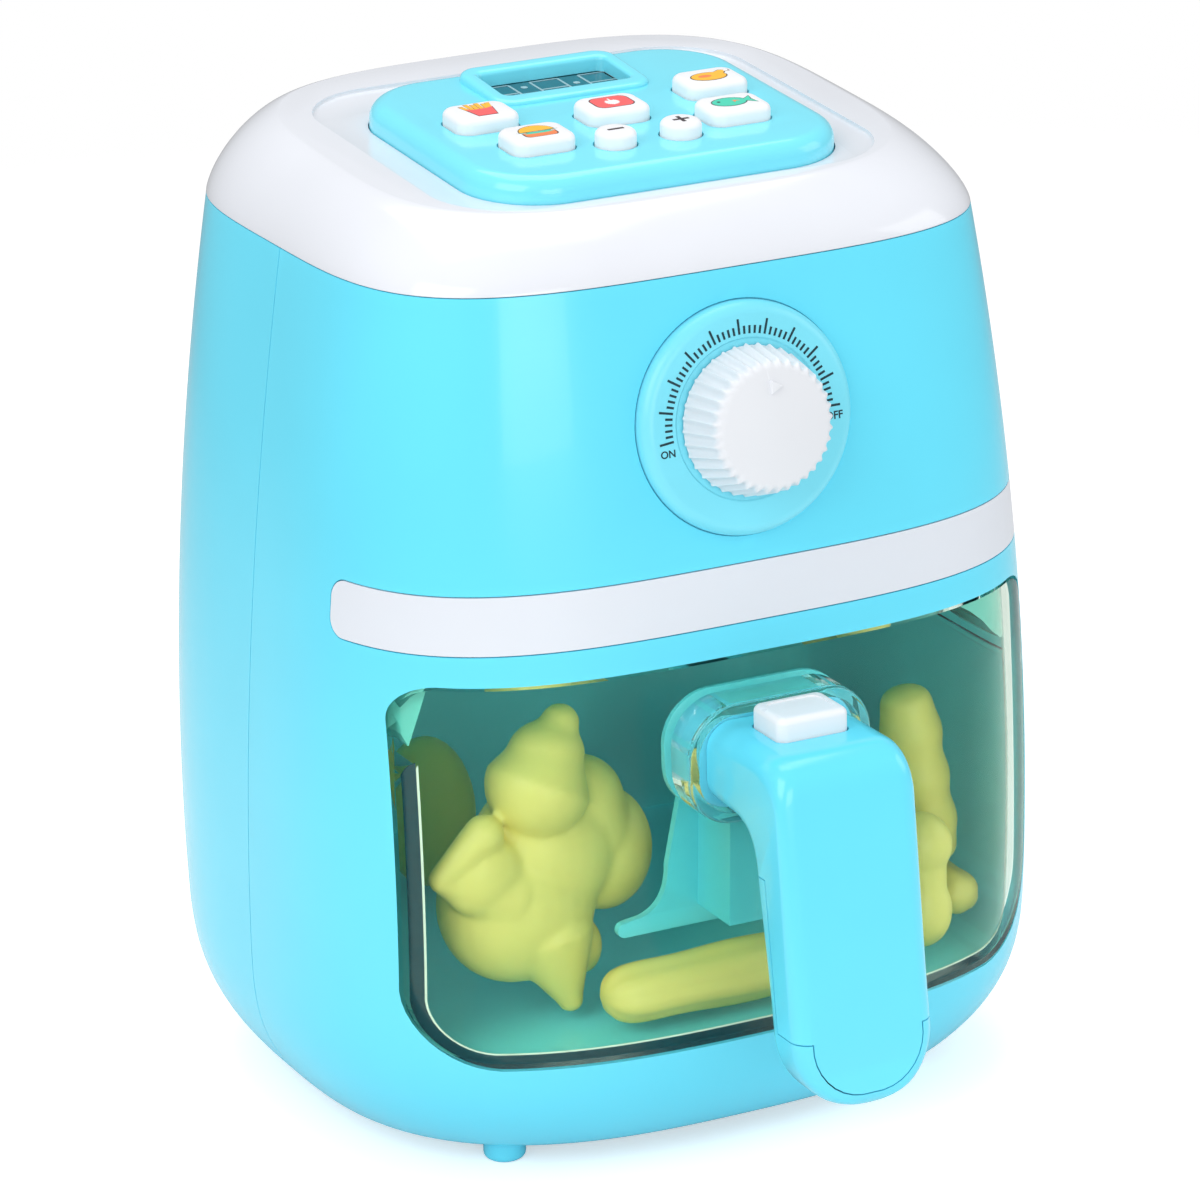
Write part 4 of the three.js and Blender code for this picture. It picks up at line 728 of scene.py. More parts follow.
def display_lens():
    seat = slab(corners(-18.7, 18.7, 5.8, 26.2, 2), 1.8, 2.7)
    return moved(joined(seat, slab(corners(-16.3, 16.3, 8.2, 23.8, 1.8), 2.2, LENS_TOP, crown=0.3)), ON_TOP)


def figures():
    """Three figures of seven outlined bars, with points between"""
    marks = []
    low, high, half, pen = 9.2, 22, 3.6, 0.55 / 2
    for middle in (-12.2, 0.6, 13.2):
        for y in (low, (low + high) / 2, high):
            marks.append(corners(middle - half, middle + half, y - pen, y + pen, 0.2, steps=2))
        for x in (middle - half, middle + half):
            marks.append(corners(x - pen, x + pen, low, high, 0.2, steps=2))
    for x, y in ((-5.8, 19), (-5.8, 12), (6.9, 17)):
        marks.append(corners(x - 0.8, x + 0.8, y - 0.8, y + 0.8, 0.7, steps=3))
    marks = [slab(mark, LENS_TOP - INK, LENS_TOP + INK) for mark in marks]
    return moved(joined(marks[0], *marks[1:]), ON_TOP)


piece("display_face", display_lens(), "housing", "display_glass", display_smoke, stands_for=["display_lens"])
piece("display_figures", figures(), "housing", "display_glass", pale_ink)

# Keys: seven white caps with softened edges, each on a flange that stops it under the panel and a
# stem that presses the rubber keypad. The pictures and signs are printed on their tops.
white_key = plastic("white_key", (243, 244, 247), 0.34, ripple=0.03, scuffs=0.1)
KEY_TOP = PANEL_TOP + 3.6
KEY_FLANGE = (1.5, 2.7)


def food_key(x, y):
    cap = slab(key_plate(x, y, 0), KEY_FLANGE[0], KEY_TOP, crown=1.7, segments=7)
    rim = slab(key_plate(x, y, 0.9), *KEY_FLANGE)
    return moved(joined(cap, rim, moved(rod(2, -0.3, 2), shift(x, y, 0))), ON_TOP)


def sign_key(x, y):
    profile = [(0, -0.3), (2, -0.3), (2, 1.5), (5.7, 1.5), (5.7, 2.7), (4.8, 2.7),
               *arc(3.3, KEY_TOP - 1.5, 1.5, 0, 90), (0, KEY_TOP)]
    return moved(turned(profile), shift(x, y, 0), ON_TOP)


for key, (x, y) in {**FOOD_KEYS, **SIGN_KEYS}.items():
    shape = food_key(x, y) if key in FOOD_KEYS else sign_key(x, y)
    piece(f"{key}_cap", shape, f"{key}_key", "white_shell", white_key, stands_for=[f"{key}_button"])

# Prints: a small picture on each food key and a sign on the others, in thin layers of ink.
# Each has a dark outline under its colours.
INKS = [
    plastic(name, colour, 0.42, ripple=0, scuffs=0.04, grain=0.15)
    for name, colour in (
        ("ink_dark", (58, 46, 52)),
        ("ink_red", (250, 96, 98)),
        ("ink_yellow", (253, 186, 48)),
        ("ink_orange", (240, 130, 74)),
        ("ink_green", (66, 208, 178)),
        ("ink_white", (250, 246, 244)),
    )
]
DARK, RED, YELLOW, ORANGE, GREEN, PALE = range(6)


def outline(points):
    bm = bmesh.new()
    bmesh.ops.contextual_create(bm, geom=[bm.verts.new((x, y, 0)) for x, y in points])
    return bm


def rimmed(points, rim=0.3):
    """The points moved out from their middle by the width of the rim"""
    x, y = (sum(p[i] for p in points) / len(points) for i in (0, 1))
    grown = []
    for px, py in points:
        dx, dy = px - x, py - y
        more = 1 + rim / max(math.hypot(dx, dy), 0.1)
        grown.append((x + dx * more, y + dy * more))
    return grown


def gathered(parts):
    """Thin parts held together in one piece as they lie"""
    whole = bmesh.new()
    for part in parts:
        mesh = mesh_of("part", part)
        whole.from_mesh(mesh)
        bpy.data.meshes.remove(mesh)
    return whole


def sheet_of(layers, height):
    """Flat outlines of ink, (colour, points) each, one upon another over a dark rim"""
    under = [(DARK, rimmed(points)) for colour, points in layers if colour != DARK]
    sheet = []
    for i, (colour, points) in enumerate(under + layers):
        rise = 0.02 if i < len(under) else 0.04 + 0.01 * (i - len(under))
        layer = slab(outline(points), height - 0.05, height + rise)
        for face in layer.faces:
            face.material_index = colour
        sheet.append(layer)
    return gathered(sheet)


def whole_oval(x, y, across, along, steps=20):
    return arc(x, y, across, 0, 360, steps, along)[:-1]


def bar_points(x, y, half_wide, half_high):
    return [(x - half_wide, y - half_high), (x + half_wide, y - half_high),
            (x + half_wide, y + half_high), (x - half_wide, y + half_high)]


def arc_band(x, y, inner, outer, start, end):
    """A bent stroke of the pen"""
    return arc(x, y, outer, start, end, 20) + arc(x, y, inner, end, start, 20)


CHIPS = [
    (-2.8, 0.2, -3.5, 3.3), (-1.7, 0.2, -1.9, 4.3), (-0.6, 0.2, -0.5, 3.6),
    (0.6, 0.2, 0.8, 4.4), (1.8, 0.2, 2.2, 3.5), (2.6, 0.2, 3.4, 3.9),
]
PICTURES = {
    "fries": [
        *[(YELLOW, [(a - 0.5, b), (a + 0.5, b), (c + 0.5, d), (c - 0.5, d)]) for a, b, c, d in CHIPS],
        (RED, [(-2.3, -4.2), (2.3, -4.2), (3.3, 1), (1.6, 0.3), (-1.6, 0.3), (-3.3, 1)]),
    ],
    "burger": [
        (ORANGE, [(-3.9, -0.9), *arc(-2.7, -2.4, 1.2, 180, 270, 4, 1.4),
                  *arc(2.7, -2.4, 1.2, 270, 360, 4, 1.4), (3.9, -0.9)]),
        (GREEN, [(-4.9, -0.1), (-3.7, -1.5), (-2.4, -0.7), (-1.2, -1.7), (0, -0.7),
                 (1.2, -1.7), (2.4, -0.7), (3.7, -1.5), (4.9, -0.1)]),
        (YELLOW, arc(0, 0, 4.2, 0, 180, 14, 3.7)),
    ],
    "chicken": [
        (PALE, bar_points(4.9, 2.2, 0.9, 0.5)),
        (YELLOW, [(1.4, 1.6), (3.6, 2.9), (4.7, 2.5), (4.5, 1.5), (3.2, -0.4)]),
        (YELLOW, whole_oval(-0.5, -0.5, 4.4, 2.8)),
        (ORANGE, whole_oval(-1.4, -0.2, 1.7, 0.9)),
    ],
    "fish": [
        (GREEN, [(2.4, 0), (5.3, 2.4), (4.6, 0), (5.3, -2.4)]),
        (GREEN, whole_oval(-0.9, 0, 4.2, 2.9)),
        (ORANGE, [(0.2, 0.9), (2, 0), (0.2, -0.9), (0.8, 0)]),
        (DARK, whole_oval(-3.3, 0.7, 0.45, 0.45, steps=10)),
    ],
    "power": [
        (RED, [*arc(2.6, 1.6, 2, 0, 90, 5), *arc(-2.6, 1.6, 2, 90, 180, 5),
               *arc(-2.6, -1.6, 2, 180, 270, 5), *arc(2.6, -1.6, 2, 270, 360, 5)]),
        (PALE, arc_band(0, -0.2, 1.5, 1.9, 125, 415)),
        (PALE, bar_points(0, 1.3, 0.2, 1.1)),
    ],
    "minus": [(DARK, bar_points(0, 0, 2, 0.45))],
    "plus": [(DARK, bar_points(0, 0, 2, 0.45)), (DARK, bar_points(0, 0, 0.45, 2))],
}
for key, (x, y) in {**FOOD_KEYS, **SIGN_KEYS}.items():
    sheet = moved(sheet_of(PICTURES[key], KEY_TOP), shift(x, y, 0), ON_TOP)
    piece(f"{key}_print", sheet, f"{key}_key", "white_shell", *INKS)

# Dial: a light-blue ring let into the front and a ribbed white knob on a spindle, with a raised
# pointer. The scale is printed on the ring.
blue_ring = plastic("blue_ring", (126, 228, 248), 0.3, ripple=0.03)
white_knob = plastic("white_knob", (228, 231, 236), 0.36, ripple=0.04, scuffs=0.08)
KNOB_FOOT, KNOB_SHOULDER, KNOB_RADIUS = 3.5, 13.1, 17.4
RING_FACE = 3.2


def dial_ring():
    profile = [(SPINDLE_BORE, -0.9), (DIAL_RADIUS, -0.9), *arc(DIAL_RADIUS - 3, 0.2, 3, 0, 90, 10),
               (18.6, RING_FACE), (18.2, 2.9), (SPINDLE_BORE, 2.9), (SPINDLE_BORE, -0.9)]
    return moved(turned(profile, 128), DIAL)


def knob():
    """Rings of the ribbed side, its round edge and the crown: inset, depth of the ribs, height"""
    ribs, points = 36, 10
    steps = ribs * points
    foot, edge = KNOB_FOOT + 0.6, 2.6
    rings = [(0.6, 0.0, KNOB_FOOT), (0, 1, foot)]
    rings += [(2 * i / 6, 1, foot + (KNOB_SHOULDER - foot) * i / 6) for i in range(1, 7)]
    for a in QUARTER[1:]:
        rings.append((2 + edge * (1 - math.cos(a)), math.cos(a), KNOB_SHOULDER + edge * math.sin(a)))
    for share in [i / 5 for i in range(1, 6)]:
        rings.append((2 + edge + 12.8 * share, 0, KNOB_SHOULDER + edge + math.sin(share * math.pi / 2)))

    def place(turn, level):
        inset, depth, height = rings[level]
        angle = 2 * math.pi * turn / steps
        wave = (0.5 + 0.5 * math.cos(angle * ribs)) ** 1.6
        radius = max(KNOB_RADIUS - inset - 0.9 * depth * (1 - wave), 0)
        return radius * math.cos(angle), radius * math.sin(angle), height

    body = form(steps, len(rings) - 1, place)
    pointer = bmesh.new()
    bmesh.ops.create_circle(pointer, cap_ends=True, segments=3, radius=1.9)
    moved(pointer, Matrix.Rotation(math.pi / 6, 4, "Z"), shift(0, 9.2, 0))
    body = joined(body, slab(pointer, KNOB_SHOULDER, KNOB_SHOULDER + 3.9, crown=0.3, segments=2))
    return moved(carved(body, rod(SPINDLE_BORE, 0, 9.5)), DIAL)


def lettering(words, width, x, y, height):
    """Words as a thin solid of that width, centred on x, y and standing on height"""
    curve = bpy.data.curves.new(words, "FONT")
    curve.body = words
    curve.align_x = "CENTER"
    curve.align_y = "CENTER"
    curve.offset = 0.02
    curve.resolution_u = 4
    curve.extrude = 0.05
    bm = taken_from(set_out(words, curve))
    bmesh.ops.remove_doubles(bm, verts=bm.verts, dist=1e-4)
    bmesh.ops.recalc_face_normals(bm, faces=bm.faces)
    left, right = (side(v.co.x for v in bm.verts) for side in (min, max))
    low, high = (side(v.co.y for v in bm.verts) for side in (min, max))
    scale = width / (right - left)
    return moved(bm, shift(-(left + right) / 2, -(low + high) / 2, 0),
                 Matrix.Diagonal((scale, scale, 1, 1)), shift(x, y, height))


def dial_scale():
    """A long mark at every fifth step, round the knob from ON to OFF"""
    first, pitch, start, short, long, pen = 186.2, 3.73, 19.4, 21.2, 22.9, 0.26
    marks = []
    for i in range(51):
        end = short if i % 5 else long
        mark = slab(corners(start, end, -pen, pen, 0.05, steps=1), RING_FACE - INK, RING_FACE + INK)
        marks.append(moved(mark, Matrix.Rotation(math.radians(first - pitch * i), 4, "Z")))
    marks.append(lettering("ON", 3.6, -20.9, -4.7, RING_FACE))
    marks.append(lettering("OFF", 4.4, 21.2, -2.4, RING_FACE))
    return moved(gathered(marks), DIAL)


teal_ink = plastic("teal_ink", (14, 52, 62), 0.4, ripple=0, grain=0.1)
piece("dial_scale", dial_scale(), "housing", "blue_shell", teal_ink)
piece("dial_ring", dial_ring(), "housing", "blue_shell", blue_ring, stands_for=["dial_bezel"])
piece("knob", knob(), "dial", "white_shell", white_knob, stands_for=["dial_knob"])

# Bay: the smooth light-blue liner behind the window that the drawer slides into, glued to the
# front half and resting on four posts.
# The liner is a lighter blue than the housing and glows faintly (lit): painted light that brightens the
# inside of the bay
blue_bay_painted_light = plastic("blue_bay_painted_light", (120, 232, 244), 0.32, lit=0.065)


def bay_block(side, back, floor, top, steps=12):
    """A block that fills the bay but for that much at the sides, the back and the floor"""
    half, low, high = WINDOW_HALF - side, LOW_CORNER - side, max(TOP_CORNER - side, 0.3)
    front = facing(corners(-half, half, SILL + floor, top, low, high, steps), -FAR, FAR)
    return crossed(front, slab(corners(-half, half, -FAR, 58 - back, low, steps=steps), 0, TOP))


def bay():
    liner = carved(bay_block(-1.8, -1.8, -1.8, LINTEL + 1.8), bay_block(0, 0, 0, LINTEL))
    return crossed(liner, inner_skin(2.6))


piece("bay", bay(), "housing", "blue_shell", blue_bay_painted_light, stands_for=["bay_liner"])

# Drawer: a thick clear styrene front, tinted smoke, that follows the housing, with a glassy collar
# round the handle's neck and a gusset in each top corner. A clear tub is glued behind it; along its
# front edge a dark band of painted shade and a pale band of painted highlight stand for the clear rim.
NECK = 102.8
DRAWER_FACE = half_depth(NECK)
PANE, BEHIND_PANE, TUB_RIM = 3.6, 3.75, 3.9
TUB_TOP = 106
TUB_OUTSIDE, TUB_INSIDE = (4, 2, 0.3), (6, 4, 2.3)
# Inner edges of the painted shade band and of the painted highlight band along the tub's rim
PAINTED_SHADE_INSIDE, PAINTED_HIGHLIGHT_INSIDE = (6.3, 4, 2.9), (6.7, 4, 3.3)
COLLAR_WIDE, COLLAR_HIGH, COLLAR_CORNER = 23.3, 14.3, 12


def clear_plastic(name, colour, roughness, bending):
    """A clear moulding; a lamp's rays pass it straight, thinly coloured, so what lies behind it is lit"""
    material, tree = new_material(name)
    levels = {"Roughness": roughness, "Ripple": 0.03, "Scuffs": 0.02}
    glass = skinned(tree, (*colour, 1), levels, Transmission_Weight=1.0, IOR=bending)
    film = add(tree, "BsdfTransparent", Color=(*[0.7 + 0.3 * c for c in colour], 1))
    lamp = add(tree, "LightPath").outputs["Is Shadow Ray"]
    mix = add(tree, "MixShader", i0=lamp, i1=glass.outputs[0], i2=film.outputs[0])
    coat_with(tree, mix)
    return material


smoke_clear = clear_plastic("smoke_clear", (0.84, 0.97, 0.85), 0.02, 1.2)
collar_clear = clear_plastic("collar_clear", (0.95, 0.98, 0.97), 0.02, 1.45)
tub_clear = clear_plastic("tub_clear", (0.97, 0.99, 0.96), 0.03, 1.05)
# Colours for the tub's front edge: painted shade where the clear rim looks dark edge-on, and a painted
# highlight along it
painted_shade_rim = plastic("painted_shade_rim", (22, 62, 78), 0.2)
painted_highlight_rim = plastic("painted_highlight_rim", (232, 236, 232), 0.3)


def collar_plate(inset):
    wide, high = COLLAR_WIDE - inset, COLLAR_HIGH - inset
    return corners(-wide, wide, NECK - high, NECK + high, COLLAR_CORNER - inset, steps=12)


def drawer_front():
    pane = crossed(facing(window(0.7), 42, FAR), housing_form(0, FOOT, SHELL_TOP))
    pane = carved(pane, inner_skin(PANE))
    collar = facing(collar_plate(0), DRAWER_FACE - 1.8, DRAWER_FACE + 8.5, crown=1)
    front = carved(joined(pane, collar), facing(collar_plate(2.6), 0, FAR))
    for face in front.faces:
        x, y, z = face.calc_center_median()
        beside = abs(x) < COLLAR_WIDE + GAP and abs(z - NECK) < COLLAR_HIGH + GAP
        face.material_index = beside and y < -DRAWER_FACE - 0.8
    return front


def tub_wall(outside, inside):
    """An open box between two blocks, each in from the bay's sides, back and floor"""
    return carved(bay_block(*outside, TUB_TOP), bay_block(*inside, FAR))


def tub_rim_painted_shade_and_highlight():
    """The tub's front edge in painted light: a dark band of painted shade where the clear rim looks dark
    edge-on, a pale band of painted highlight along its inside, and a painted reflection at the upper right
    """
    band = carved(inner_skin(BEHIND_PANE), inner_skin(TUB_RIM))
    rings = []
    for i, ring in enumerate((tub_wall(TUB_OUTSIDE, PAINTED_SHADE_INSIDE), tub_wall(PAINTED_SHADE_INSIDE, PAINTED_HIGHLIGHT_INSIDE))):
        rings.append(crossed(ring, band.copy(), half_space(-FAR, -22)))
        for face in rings[-1].faces:
            middle = face.calc_center_median()
            # Painted highlight on the inner ring, and a painted reflection over the whole band at the upper
            # right
            face.material_index = i or (middle.x > 60 and middle.z > 42)
    return gathered(rings)


def tub_ear(points):
    """A gusset in the top corner of the clear front, its free edge a curve"""
    ear = crossed(facing(outline(points), 50, FAR), facing(window(1.8), 0, FAR))
    return crossed(ear, inner_skin(BEHIND_PANE))


LEFT_EAR = [
    (-81, 109.4), (-76.6, 109), (-77.6, 111.6), (-78, 114.6),
    (-77.4, 117.8), (-75.8, 120.6), (-73, 123.4), (-81, 123.4),
]
RIGHT_EAR = [
    (81, 108.2), (81, 123.4), (55.5, 123.4), (60, 120.4),
    (64, 117), (67.6, 113), (71, 110.2), (74.5, 108.8),
]
ear_clear = plastic("ear_clear", (112, 206, 206), 0.15, coat=0.3)
# The tub's front edge: painted shade and painted highlight
piece("tub_rim_painted_shade_and_highlight", tub_rim_painted_shade_and_highlight(), "drawer", "tinted_clear", painted_shade_rim, painted_highlight_rim)
piece("tub_ears", joined(tub_ear(LEFT_EAR), tub_ear(RIGHT_EAR)), "drawer", "tinted_clear", ear_clear)
piece("drawer_window", drawer_front(), "drawer", "tinted_clear", smoke_clear, collar_clear,
      stands_for=["drawer_front"])
tub = crossed(tub_wall(TUB_OUTSIDE, TUB_INSIDE), inner_skin(TUB_RIM))
piece("drawer_basket", tub, "drawer", "tinted_clear", tub_clear, stands_for=["drawer_tub"])

# Bracket: the light-blue moulding that carries the handle. Its head fills the collar, a plate lies
# behind the clear front, and a channel with a flared flange stiffens it below.
blue_bracket = plastic("blue_bracket", (104, 214, 236), 0.3)
PLATE_BACK = DRAWER_FACE - PANE - GAP - 2
HEAD_FRONT = DRAWER_FACE + 5.5
FLANGE_FRONT = DRAWER_FACE - PANE - 17
NECK_SCREWS = (-14, 14)
NECK_BORE = 1.8
CHANNEL_LOW = 59.4


def channel_plate(inset):
    wide, narrow, low = 8.6 - inset, 7 - inset, CHANNEL_LOW + inset
    return outline([(-wide, low), (wide, low), (narrow, NECK), (-narrow, NECK)])


def flange_plate():
    half = arc(27.2, 56.4, 1.8, -90, 90, 12)
    half += [(27.2 - 11.2 * t * (2 - t), 58.2 + 12 * t * t) for t in [i / 10 for i in range(1, 11)]]
    half += [(9, NECK)]
    return outline(half + [(-x, y) for x, y in reversed(half)])


def bracket():
    wall = 1.8
    channel = facing(channel_plate(0), FLANGE_FRONT, FAR)
    channel = carved(channel, facing(channel_plate(wall), -FAR, PLATE_BACK))
    flange = facing(flange_plate(), FLANGE_FRONT, FLANGE_FRONT + 2, crown=0.7)
    flange = carved(flange, facing(channel_plate(wall), 0, FAR))
    plate = facing(collar_plate(0), PLATE_BACK, FAR)
    head = facing(collar_plate(2.9), PLATE_BACK, HEAD_FRONT, crown=0.8)
    whole = joined(crossed(joined(channel, flange, plate), inner_skin(TUB_RIM)), head)
    return carved(whole, *[rod_back(NECK_BORE, -FAR, 0, x, NECK) for x in NECK_SCREWS])


piece("bracket", bracket(), "drawer", "blue_shell", blue_bracket, stands_for=["handle_bracket"])

# Handle: two light-blue mouldings, a shell swept from the neck down the grip and a back whose rim
# shows round its foot. Two screws through the bracket and one in the back hold it.
blue_handle = plastic("blue_handle", BLUE, 0.2, coat=0.2)
GRIP_LEAN, GRIP_REACH = 0.14, 32.7
SLANT = math.hypot(1, GRIP_LEAN)
GRIP_WIDE, GRIP_HALF, GRIP_EDGE = 17.5, 7.6, 4.5
NECK_HALF, NECK_EDGE = 9.7, 6.5
FOOT_TOP, FOOT_LOW = 48, 32


def grip_middle(height):
    """How far the middle of the grip stands in front at that height"""
    return DRAWER_FACE + GRIP_REACH + GRIP_LEAN * (NECK - height)


def grip_point(side, height, half=GRIP_HALF):
    return Vector((grip_middle(height) + side * half * SLANT, height))


def bend(side, level, reach):
    corner = grip_point(side, level)
    start, end = Vector((corner.x - reach, level)), grip_point(side, level - reach)
    return lambda t: start * (1 - t) ** 2 + corner * 2 * t * (1 - t) + end * t ** 2


def handle_form():
    """Sections of the neck, the bend, the grip and its round foot: front, back, half width, corner"""
    outer, inner = bend(1, NECK + NECK_HALF, 8.5), bend(-1, NECK - NECK_HALF, 13)
    start = HEAD_FRONT + GAP
    sections = [(Vector((start, NECK + NECK_HALF)), Vector((start, NECK - NECK_HALF)), GRIP_WIDE, NECK_EDGE)]
    for t in [i / 24 for i in range(25)]:
        sections.append((outer(t), inner(t), GRIP_WIDE, NECK_EDGE - 2 * t))
    front, back = sections[-1][:2]
    for i in range(1, 7):
        share = i / 7
        near, far = front.lerp(grip_point(1, FOOT_TOP), share), back.lerp(grip_point(-1, FOOT_TOP), share)
        sections.append((near, far, GRIP_WIDE, GRIP_EDGE))
    for i in range(15):
        angle = i / 14 * math.pi / 2
        rise = (FOOT_TOP - FOOT_LOW) * (1 - math.sin(angle))
        near = min(rise, GRIP_EDGE)
        deep = GRIP_HALF - (GRIP_EDGE - math.sqrt(GRIP_EDGE ** 2 - (GRIP_EDGE - near) ** 2))
        wide = GRIP_WIDE - (FOOT_TOP - FOOT_LOW) * (1 - math.cos(angle))
        radius = min(GRIP_EDGE, wide - 0.15, deep - 0.15)
        height = FOOT_LOW + rise
        sections.append((grip_point(1, height, deep), grip_point(-1, height, deep), wide, radius))
    steps = 48

    def place(turn, level):
        front, back, wide, radius = sections[level]
        middle = (front + back) / 2
        up = (front - middle).normalized()
        x, y = round_corner(turn % steps, wide, (front - middle).length, radius, steps)
        return x, -middle.x - y * up.x, middle.y + y * up.y

    return form(steps, len(sections) - 1, place)


def back_region(gap):
    """What the back of the handle takes of its form: a plate behind, and a rim round the foot"""
    low, high = 16, 84 + gap
    near, far = GRIP_HALF * SLANT - 5 - gap, GRIP_HALF * SLANT + 5
    ends = ((near, low), (far, low), (far, high), (near, high))
    plate = moved(slab(outline([(y - grip_middle(z), z) for y, z in ends]), -FAR, FAR), TO_SIDE)
    face = slab(corners(-14 + gap, 14 - gap, 35.5 + gap, TOP, 12.5 - gap), 0, FAR)
    band = slab(corners(-FAR, FAR, low, 49 + gap, 0.3), 0, FAR)
    return joined(plate, moved(carved(band, face), TO_FRONT))


PUSH_Y, PUSH_WIDE, PUSH_DEEP = -(DRAWER_FACE + 18), 9, 7.2
PUSH_FLANGE = NECK + 4.9
PUSH_TOP = NECK + NECK_HALF + 5.2
GRIP_SCREW = 62


def push_plate(margin):
    wide, deep = PUSH_WIDE + margin, PUSH_DEEP + margin
    return corners(-wide, wide, PUSH_Y - deep, PUSH_Y + deep, 2.6)


def screw_bore(radius, front, back):
    middle = -grip_middle(GRIP_SCREW)
    return rod_back(radius, middle - front, middle + back, 0, GRIP_SCREW)


def handle_shell():
    pocket = joined(slab(push_plate(0.3), NECK + 6.4, FAR), slab(push_plate(1.6), NECK + 1.6, NECK + 6.7))
    well = moved(rod(4, NECK - 2.9, NECK + 1.9), shift(0, PUSH_Y, 0))
    bores = [rod_back(NECK_BORE, -(HEAD_FRONT + 7.6), 0, x, NECK) for x in NECK_SCREWS]
    return carved(handle_form(), back_region(GAP), joined(pocket, well), *bores, screw_bore(1.8, 3.8, 7.6))


def handle_back():
    back = crossed(handle_form(), back_region(0))
    return carved(back, screw_bore(3.3, -3.6, 15.2), screw_bore(1.8, 0, 7.6))


piece("handle_front", handle_shell(), "drawer", "blue_shell", blue_handle, stands_for=["handle_shell"])
piece("handle_rear", handle_back(), "drawer", "blue_shell", blue_handle, stands_for=["handle_back"])

# Release: a white key in the top of the handle, its face slightly dished. A flange keeps it under the
# shell and a coil spring pushes it up.
white_push = plastic("white_push", (240, 242, 246), 0.28, ripple=0.04)


def push_key():
    cap = slab(push_plate(0), PUSH_FLANGE, PUSH_TOP, crown=1.5, segments=6)
    cap = carved(cap, slab(push_plate(-2.2), PUSH_TOP - 0.3, FAR))
    return joined(cap, slab(push_plate(1.3), PUSH_FLANGE, PUSH_FLANGE + 1.5))


piece("release_key", push_key(), "release_button", "white_shell", white_push, stands_for=["handle_button"])

# Battery cover: a light-blue door flush with the back, in the same ABS as the housing, with one
# screw in its ear.
def battery_cover():
    door = carved(crossed(cover_block(0), housing_form(0, FOOT, SHELL_TOP)), inner_skin(WALL))
    return carved(door, rod_back(1.6, 0, FAR, 0, TAB_HIGH - 4.5))


piece("battery_door", battery_cover(), "housing", "blue_shell", blue_shell, stands_for=["battery_cover"])

# Fixings: plated steel screws with a cross in the head, a coil spring and the battery contacts.
plated_steel = plastic("plated_steel", (204, 205, 208), 0.24, ripple=0.1, scuffs=0.3, grain=0.4, metal=1.0)


def cross_screw(head, rise, shank, length):
    edge, flat, reach = rise * 0.4, rise * 0.6, head * 0.6
    profile = [(0, -length), (shank * 0.4, -length), (shank, shank - length), (shank, 0), (head, 0),
               (head, edge), *arc(head - flat, edge, flat, 0, 90, 4), (0, rise)]
    cut = [slab(corners(-reach, reach, -0.35, 0.35, 0.1, steps=2), edge, rise + 1)]
    cut.append(moved(cut[0].copy(), Matrix.Rotation(math.pi / 2, 4, "Z")))
    return carved(turned(profile, 32), joined(*cut))


def dressed(material, *names):
    """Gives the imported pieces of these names, whose shape is right, that material"""
    for name in names:
        for held in frame["nodes"][name].material_slots:
            held.material = material


def set_screw(name, body, node, head, rise, shank):
    """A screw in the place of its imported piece, its head to the back"""
    low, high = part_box(node)
    middle = (low + high) / 2 / MM
    length = (high.y - low.y) / MM - rise
    seat = shift(middle.x, high.y / MM - rise - MIDDLE, middle.z)
    screw = moved(cross_screw(head, rise, shank, length), TO_FRONT.inverted(), seat)
    piece(name, screw, body, "bright_steel", plated_steel, stands_for=[node])


set_screw("grip_cross_screw", "drawer", "grip_screw", 3, 2, 1.5)
set_screw("cover_cross_screw", "housing", "battery_cover_screw", 2.4, 1.8, 1.3)
for i in (1, 2, 3, 4):
    dressed(plated_steel, f"housing_screw_{i}", f"board_screw_{i}", f"battery_contact_{i}")
dressed(plated_steel, "neck_screw_1", "neck_screw_2")
SPRING_FOOT, SPRING_LENGTH, SPRING_RADIUS, SPRING_TURNS, SPRING_WIRE = 100, 7.4, 3, 5, 0.5


def coil(sides=10, levels=162):
    """The wire of the spring, wound from its foot and closed at both ends"""
    def place(turn, level):
        share = min(max((level - 1) / (levels - 2), 0), 1)
        thick = SPRING_WIRE if 0 < level < levels else 0
        way, around = share * SPRING_TURNS * 2 * math.pi, turn / sides * 2 * math.pi
        out = SPRING_RADIUS + thick * math.cos(around)
        rise = SPRING_FOOT + SPRING_WIRE + share * (SPRING_LENGTH - 2 * SPRING_WIRE)
        return out * math.cos(way), out * math.sin(way), rise + thick * math.sin(around)
    return moved(form(sides, levels, place), shift(0, PUSH_Y, 0))


spring = piece("release_spring", coil(), "drawer", "bright_steel", plated_steel, stands_for=["handle_spring"])
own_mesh(spring)

# Works: a coated board with a rubber keypad and the display module over it, a loudspeaker in the
# floor, the dial's spindle, switch and clip, and three cells in a box behind the back.
white_acetal = plastic("white_acetal", (226, 227, 224), 0.4, ripple=0.05, grain=0.2)
dark_moulding = plastic("dark_moulding", (34, 36, 40), 0.45, ripple=0.05, grain=0.4)
grey_rubber = plastic("grey_rubber", (186, 188, 190), 0.7, ripple=0.1, scuffs=0.15, grain=0.8)
blue_box = plastic("blue_box", (108, 218, 244), 0.35, ripple=0.08, grain=0.2)


def patterned(name, first, second, roughness, metal, pattern):
    """Two colours laid out by pattern(tree, place), which gives how much of the second there is"""
    material, tree = new_material(name)
    mix = tree.nodes.new("ShaderNodeMix")
    mix.data_type = "RGBA"
    tree.links.new(pattern(tree, add(tree, "TexCoord").outputs["Object"]), mix.inputs[0])
    mix.inputs[6].default_value = srgb(*first)
    mix.inputs[7].default_value = srgb(*second)
    coat_with(tree, skinned(tree, mix.outputs[2], {"Roughness": roughness}, Metallic=metal))
    return material


